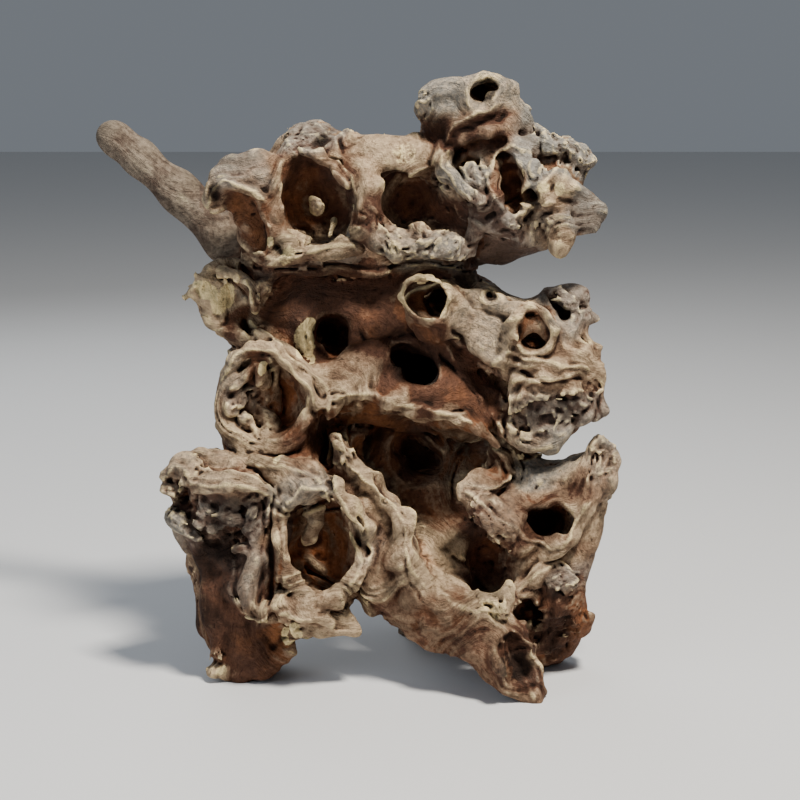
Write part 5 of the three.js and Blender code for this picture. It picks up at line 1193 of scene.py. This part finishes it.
def addPiece(node, mesh):
    mesh.name = node + "_wood"
    piece = bpy.data.objects.new(node + "_wood", mesh)
    bpy.context.scene.collection.objects.link(piece)
    centres = np.empty(len(mesh.polygons) * 3, np.float32)
    mesh.polygons.foreach_get("center", centres)
    normals = np.empty(len(mesh.polygons) * 3, np.float32)
    mesh.polygons.foreach_get("normal", normals)
    centres, normals = centres.reshape(-1, 3), normals.reshape(-1, 3)
    onCut = np.zeros(len(centres), bool)
    for middle, direction in cutPlanes:
        near = np.abs((centres - middle) @ direction) < onPlane["distance"]
        onCut |= near & (np.abs(normals @ direction) > onPlane["turned"])
    edges = set()
    for number in np.nonzero(onCut)[0]:
        face = mesh.polygons[int(number)]
        edges.update(mesh.loops[loop].edge_index for loop in face.loop_indices)
    flags = np.zeros(len(mesh.edges), bool)
    flags[list(edges)] = True
    mesh.attributes.new("sharp_edge", "BOOLEAN", "EDGE").data.foreach_set("value", flags)
    healCut(mesh)
    mesh.materials.clear()
    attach(piece, "root")
    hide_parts(node)
    return piece


corners = [(x, y, z) for x in (-0.4, 0.4) for y in (-0.4, 0.4) for z in (-0.2, 0)]
floorCut = formFrom(corners, "floorCut")
whole.data = cutBy(whole, floorCut, "DIFFERENCE")
dropTool(floorCut)

# The main forks where the solids part, as outlines in the picture between two depths. They are
# taken off in this order, and what is left is the trunk wall.
forks = {
    "long_branch": {"outline": [(70, 150), (120, 95), (268, 222), (218, 282)], "near": 6, "far": 120},
    "crown_knob": {"outline": [(395, 50), (560, 50), (545, 117), (434, 142), (400, 128)]},
    "crown": {"outline": [(150, 40), (640, 40), (640, 270), (150, 257)]},
    "right_arm": {"outline": [(462, 250), (640, 250), (640, 405), (562, 457), (505, 448)]},
    "left_foot": {"outline": [(130, 455), (300, 455), (330, 478), (368, 545), (368, 600),
                              (362, 650), (300, 720), (130, 720)]},
    "front_foot": {"outline": [(350, 600), (420, 577), (515, 590), (575, 760), (350, 760)], "far": -50},
    "right_foot": {"outline": [(502, 440), (640, 400), (640, 760), (506, 760)]},
    "back_foot": {"outline": [(360, 578), (540, 578), (540, 760), (360, 760)], "near": 20},
    "hollow_wall": {"outline": [(316, 436), (345, 424), (500, 442), (560, 760), (300, 760)]},
}

slots = {
    "long_branch": "branch_wood", "crown_knob": "crown_wood", "crown": "crown_wood",
    "right_arm": "arm_wood", "left_foot": "foot_wood", "front_foot": "foot_wood",
    "right_foot": "foot_wood", "back_foot": "foot_wood", "hollow_wall": "hollow_wood",
    "trunk_wall": "trunk_wood",
}
shift = np.array(picture["toOrigin"])
pieces = {}
for node, fork in forks.items():
    depths = fork.get("near", -200), fork.get("far", 200)
    corners = [
        (placeOf((column, row, depth)) + shift) / 1000 for column, row in fork["outline"] for depth in depths
    ]
    tool = formFrom(corners, "fork")
    part = cutBy(whole, tool, "INTERSECT")
    whole.data = cutBy(whole, tool, "DIFFERENCE")
    dropTool(tool)
    pieces[node] = addPiece(node, part)
    print("piece", node, len(part.polygons), "faces", round(time.time() - started, 1))
pieces["trunk_wall"] = addPiece("trunk_wall", whole.data)
bpy.data.objects.remove(whole)
print("piece trunk_wall", len(pieces["trunk_wall"].data.polygons), "faces", round(time.time() - started, 1))


# Materials. One skin group makes colour, roughness and relief from what the points carry.
def link(tree, source, target):
    tree.links.new(source, target)


def mathNode(tree, operation, a, b):
    made = tree.nodes.new("ShaderNodeMath")
    made.operation = operation
    for socket, value in zip(made.inputs, (a, b)):
        if isinstance(value, (int, float)):
            socket.default_value = value
        else:
            link(tree, value, socket)
    return made.outputs[0]


def ramp(tree, value, low, high, fromValue=0.0, toValue=1.0):
    made = tree.nodes.new("ShaderNodeMapRange")
    made.interpolation_type = "SMOOTHSTEP"
    for socket, number in zip(made.inputs[1:5], (low, high, fromValue, toValue)):
        socket.default_value = number
    link(tree, value, made.inputs[0])
    return made.outputs[0]


def mixColour(tree, share, a, b, blend="MIX"):
    made = tree.nodes.new("ShaderNodeMix")
    made.data_type = "RGBA"
    made.blend_type = blend
    for socket, value in zip((made.inputs[0], made.inputs[6], made.inputs[7]), (share, a, b)):
        if isinstance(value, (int, float)):
            socket.default_value = value
        elif isinstance(value, tuple):
            socket.default_value = (*value, 1)
        else:
            link(tree, value, socket)
    return made.outputs[2]


def noiseOf(tree, vector, scale, detail, roughness):
    made = tree.nodes.new("ShaderNodeTexNoise")
    made.inputs["Scale"].default_value = scale
    made.inputs["Detail"].default_value = detail
    made.inputs["Roughness"].default_value = roughness
    link(tree, vector, made.inputs["Vector"])
    return made.outputs["Fac"]


def carriedValue(tree, name):
    made = tree.nodes.new("ShaderNodeAttribute")
    made.attribute_name = name
    return made.outputs["Fac"]


skinInputs = {
    "Bleached": ("NodeSocketColor", (0.4, 0.33, 0.25, 1)),
    "Tan": ("NodeSocketColor", (0.25, 0.16, 0.1, 1)),
    "Heart": ("NodeSocketColor", (0.1, 0.05, 0.03, 1)),
    "Rot": ("NodeSocketColor", (0.3, 0.13, 0.05, 1)),
    "Pale": ("NodeSocketColor", (0.6, 0.48, 0.3, 1)),
    "Grey": ("NodeSocketColor", (0.3, 0.3, 0.28, 1)),
    # the colour of the painted shade in creases, dips and dark spots
    "Shadow": ("NodeSocketColor", (0.02, 0.012, 0.01, 1)),
    "Weathering": ("NodeSocketFloat", 0.0),
    "Streaks": ("NodeSocketFloat", 1.0),
}
branchCast = (0.43, 0.47, 0.56)  # the straight branch is darker and greyer
paintedHollowLight = (1.75, 1.5, 1.35)  # painted light: the hollows are brightened as if light reached into them


def makeSkinGroup():
    group = bpy.data.node_groups.new("weatheredSkin", "ShaderNodeTree")
    for name, (kind, value) in skinInputs.items():
        group.interface.new_socket(name, in_out="INPUT", socket_type=kind).default_value = value
    group.interface.new_socket("Color", in_out="OUTPUT", socket_type="NodeSocketColor")
    group.interface.new_socket("Roughness", in_out="OUTPUT", socket_type="NodeSocketFloat")
    group.interface.new_socket("Height", in_out="OUTPUT", socket_type="NodeSocketFloat")
    taken = group.nodes.new("NodeGroupInput").outputs
    given = group.nodes.new("NodeGroupOutput").inputs
    place = group.nodes.new("ShaderNodeTexCoord").outputs["Object"]
    split = group.nodes.new("ShaderNodeSeparateXYZ")
    link(group, place, split.inputs[0])
    values = {name: carriedValue(group, name) for name in carried}

    def times(a, b):
        return mathNode(group, "MULTIPLY", a, b)

    def plus(a, b):
        return mathNode(group, "ADD", a, b)

    def centred(value, strength):  # a noise about zero, times a strength
        return times(mathNode(group, "SUBTRACT", value, 0.5), strength)

    patches = noiseOf(group, place, 34, 4, 0.62)
    specks = noiseOf(group, place, 260, 4, 0.65)
    pores = noiseOf(group, place, 900, 2, 0.6)
    along = group.nodes.new("ShaderNodeCombineXYZ")  # millimetres across the grain, shrunk along it
    link(group, plus(values["grain"], centred(patches, 9)), along.inputs[0])
    leaning = plus(split.outputs[0], times(split.outputs[1], 0.5))
    link(group, times(leaning, 150), along.inputs[1])
    link(group, times(split.outputs[2], 150), along.inputs[2])
    fineStreaks = noiseOf(group, along.outputs[0], 0.62, 3, 0.7)
    wideStreaks = noiseOf(group, along.outputs[0], 0.16, 3, 0.6)

    # weathered by place, and more where it stands out; faces that look up are greyer, partly as bleaching
    # and partly as painted light from above
    weather = plus(values["weathered"], taken["Weathering"])
    weather = plus(weather, centred(values["crevice"], -2.0))
    weather = plus(weather, centred(values["dip"], -1.0))
    weather = plus(weather, times(values["upward"], 0.10))
    weather = plus(weather, centred(patches, 0.9))
    weather = plus(weather, centred(specks, 0.5))
    weather = plus(weather, times(centred(wideStreaks, 0.40), taken["Streaks"]))
    weather = plus(weather, times(centred(fineStreaks, 0.25), taken["Streaks"]))

    warm = plus(values["warmth"], centred(patches, 1.1))
    colour = mixColour(group, ramp(group, warm, 0.25, 0.85), taken["Heart"], taken["Rot"])
    cool = ramp(group, plus(values["warmth"], centred(specks, 0.3)), 0.30, 0.04)
    colour = mixColour(group, times(cool, 0.2), colour, taken["Grey"])
    tan = mixColour(group, times(cool, 0.55), taken["Tan"], taken["Grey"])
    colour = mixColour(group, ramp(group, weather, 0.16, 0.46), colour, tan)
    bleached = mixColour(group, cool, taken["Bleached"], taken["Grey"])
    colour = mixColour(group, ramp(group, weather, 0.44, 0.98), colour, bleached)
    tips = times(ramp(group, values["crevice"], 0.44, 0.34), ramp(group, weather, 0.6, 1.0, 0, 0.55))
    paleShare = ramp(group, plus(values["pale"], centred(specks, 0.9)), 0.35, 0.65)
    colour = mixColour(group, mathNode(group, "MAXIMUM", tips, paleShare), colour, taken["Pale"])
    bared = mixColour(group, 1.0, colour, branchCast, "MULTIPLY")
    colour = mixColour(group, values["bare"], colour, bared)
    # painted light: colour in the hollows is multiplied brighter, standing in for light reaching inside
    hollowLit = mixColour(group, 1.0, colour, paintedHollowLight, "MULTIPLY")
    colour = mixColour(group, ramp(group, values["hollowness"], 0.56, 0.76), colour, hollowLit)
    # painted shade: creases, dips and the painted-shade spots are mixed towards a near-black brown
    shadow = ramp(group, values["crevice"], 0.545, 0.68, 0, 0.8)
    shadow = mathNode(group, "MAXIMUM", shadow, ramp(group, values["dip"], 0.66, 0.86, 0, 0.6))
    shadow = mathNode(group, "MAXIMUM", shadow, times(values["paintedShade"], 0.85))
    colour = mixColour(group, shadow, colour, taken["Shadow"])
    # shade: grain cracks, specks and streaks vary the wood's own tone; the crevice terms are painted shade
    # in fine hollows and a painted highlight on fine crests
    cracks = ramp(group, fineStreaks, 0.30, 0.40, 0.42, 1)
    shade = times(cracks, ramp(group, specks, 0.3, 0.68, 0.72, 1.18))
    shade = times(shade, ramp(group, wideStreaks, 0.34, 0.62, 0.74, 1.12))
    shade = times(shade, ramp(group, values["crevice"], 0.50, 0.62, 1.0, 0.55))
    shade = times(shade, ramp(group, values["crevice"], 0.47, 0.36, 1.0, 1.16))
    shadeColour = group.nodes.new("ShaderNodeCombineColor")
    for socket in shadeColour.inputs[:3]:
        link(group, shade, socket)
    colour = mixColour(group, 1.0, colour, shadeColour.outputs[0], "MULTIPLY")

    height = times(fineStreaks, mathNode(group, "SUBTRACT", 1.25, values["crust"]))
    height = plus(height, times(wideStreaks, 1.1))
    height = plus(height, times(specks, 1.1))
    height = plus(height, times(pores, 0.35))
    link(group, colour, given["Color"])
    link(group, ramp(group, weather, 0.1, 0.9, 0.70, 0.93), given["Roughness"])
    link(group, height, given["Height"])
    return group


skinGroup = makeSkinGroup()


def makeWood(finish):
    material = bpy.data.materials.new(finish["name"])
    material.use_nodes = True
    tree = material.node_tree
    shader = tree.nodes["Principled BSDF"]
    shader.inputs["Specular IOR Level"].default_value = finish["gloss"]
    skin = tree.nodes.new("ShaderNodeGroup")
    skin.node_tree = skinGroup
    for name in skinInputs:
        value = finish[name.lower()]
        skin.inputs[name].default_value = (*value, 1) if isinstance(value, tuple) else value
    bump = tree.nodes.new("ShaderNodeBump")
    bump.inputs["Strength"].default_value = 1.0
    bump.inputs["Distance"].default_value = finish["relief"]
    link(tree, skin.outputs["Height"], bump.inputs["Height"])
    link(tree, skin.outputs["Color"], shader.inputs["Base Color"])
    link(tree, skin.outputs["Roughness"], shader.inputs["Roughness"])
    link(tree, bump.outputs["Normal"], shader.inputs["Normal"])
    return material


burl = {
    "bleached": (0.40, 0.29, 0.18), "tan": (0.200, 0.122, 0.074), "heart": (0.088, 0.040, 0.024),
    "rot": (0.235, 0.092, 0.038), "pale": (0.74, 0.58, 0.30), "grey": (0.222, 0.205, 0.176),
    "shadow": (0.012, 0.007, 0.005), "weathering": -0.07, "streaks": 1.0, "relief": 0.0022, "gloss": 0.1,
}
branchFinish = {
    **burl, "name": "greyTanBranch", "heart": (0.20, 0.12, 0.07), "streaks": 0.8, "relief": 0.0012,
}
crownFinish = {**burl, "name": "bleachedCrown"}
armFinish = {**burl, "name": "tanArm"}
trunkFinish = {**burl, "name": "redBrownTrunk"}
hollowFinish = {**burl, "name": "rottedHollow"}
footFinish = {**burl, "name": "brownFoot"}
finishes = {
    "branch_wood": branchFinish, "crown_wood": crownFinish, "arm_wood": armFinish,
    "trunk_wood": trunkFinish, "hollow_wood": hollowFinish, "foot_wood": footFinish,
}
woods = {slot: makeWood(finish) for slot, finish in finishes.items()}
for node, piece in pieces.items():
    piece.data.materials.append(woods[slots[node]])
print("materials made", round(time.time() - started, 1))

# The stage: a pale floor, a pale room and soft lights, and the camera where the photograph's was.
stage = {
    "floor": (0.60, 0.60, 0.60),
    "room": (0.62, 0.68, 0.76),
    "roomLight": 0.27,
    "key": {"place": (0.56, -0.80, 1.92), "size": 0.34, "power": 92, "tint": (1.0, 0.95, 0.87)},
    "fill": {"place": (-1.5, -1.3, 1.0), "size": 1.3, "power": 13, "tint": (0.74, 0.85, 1.0)},
    "back": {"place": (-0.6, 1.3, 1.2), "size": 1.2, "power": 10, "tint": (0.90, 0.95, 1.0)},
}


def makeFloor():
    form = bmesh.new()
    bmesh.ops.create_grid(form, x_segments=1, y_segments=1, size=6)
    mesh = bpy.data.meshes.new("floor")
    form.to_mesh(mesh)
    form.free()
    made = bpy.data.objects.new("floor", mesh)
    bpy.context.scene.collection.objects.link(made)
    material = bpy.data.materials.new("paleFloor")
    material.use_nodes = True
    material.node_tree.nodes["Principled BSDF"].inputs["Base Color"].default_value = (*stage["floor"], 1)
    material.node_tree.nodes["Principled BSDF"].inputs["Roughness"].default_value = 0.7
    mesh.materials.append(material)
    made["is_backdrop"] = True


def makeLight(name, light, target):
    lamp = bpy.data.lights.new(name, "AREA")
    lamp.size = light["size"]
    lamp.energy = light["power"]
    lamp.color = light["tint"]
    made = bpy.data.objects.new(name, lamp)
    made.location = light["place"]
    made.rotation_euler = (Vector(target) - made.location).to_track_quat("-Z", "Y").to_euler()
    bpy.context.scene.collection.objects.link(made)


def makeCamera():
    lens = bpy.data.cameras.new("camera")
    lens.sensor_width = 36
    lens.lens = 36 * focalLength / (2 * picture["middle"])
    made = bpy.data.objects.new("camera", lens)
    made.location = (eye + shift) / 1000
    made.rotation_euler = (math.pi / 2 - picture["elevation"], 0, 0)
    bpy.context.scene.collection.objects.link(made)
    bpy.context.scene.camera = made


makeFloor()
for name in ("key", "fill", "back"):
    makeLight(name, stage[name], (0, 0, 0.22))
world = bpy.data.worlds.new("room")
world.use_nodes = True
world.node_tree.nodes["Background"].inputs["Color"].default_value = (*stage["room"], 1)
world.node_tree.nodes["Background"].inputs["Strength"].default_value = stage["roomLight"]
bpy.context.scene.world = world
makeCamera()

visualBox = [list(corner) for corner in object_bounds()]
print("CAD box", cadBox, "visual box", visualBox, round(time.time() - started, 1))
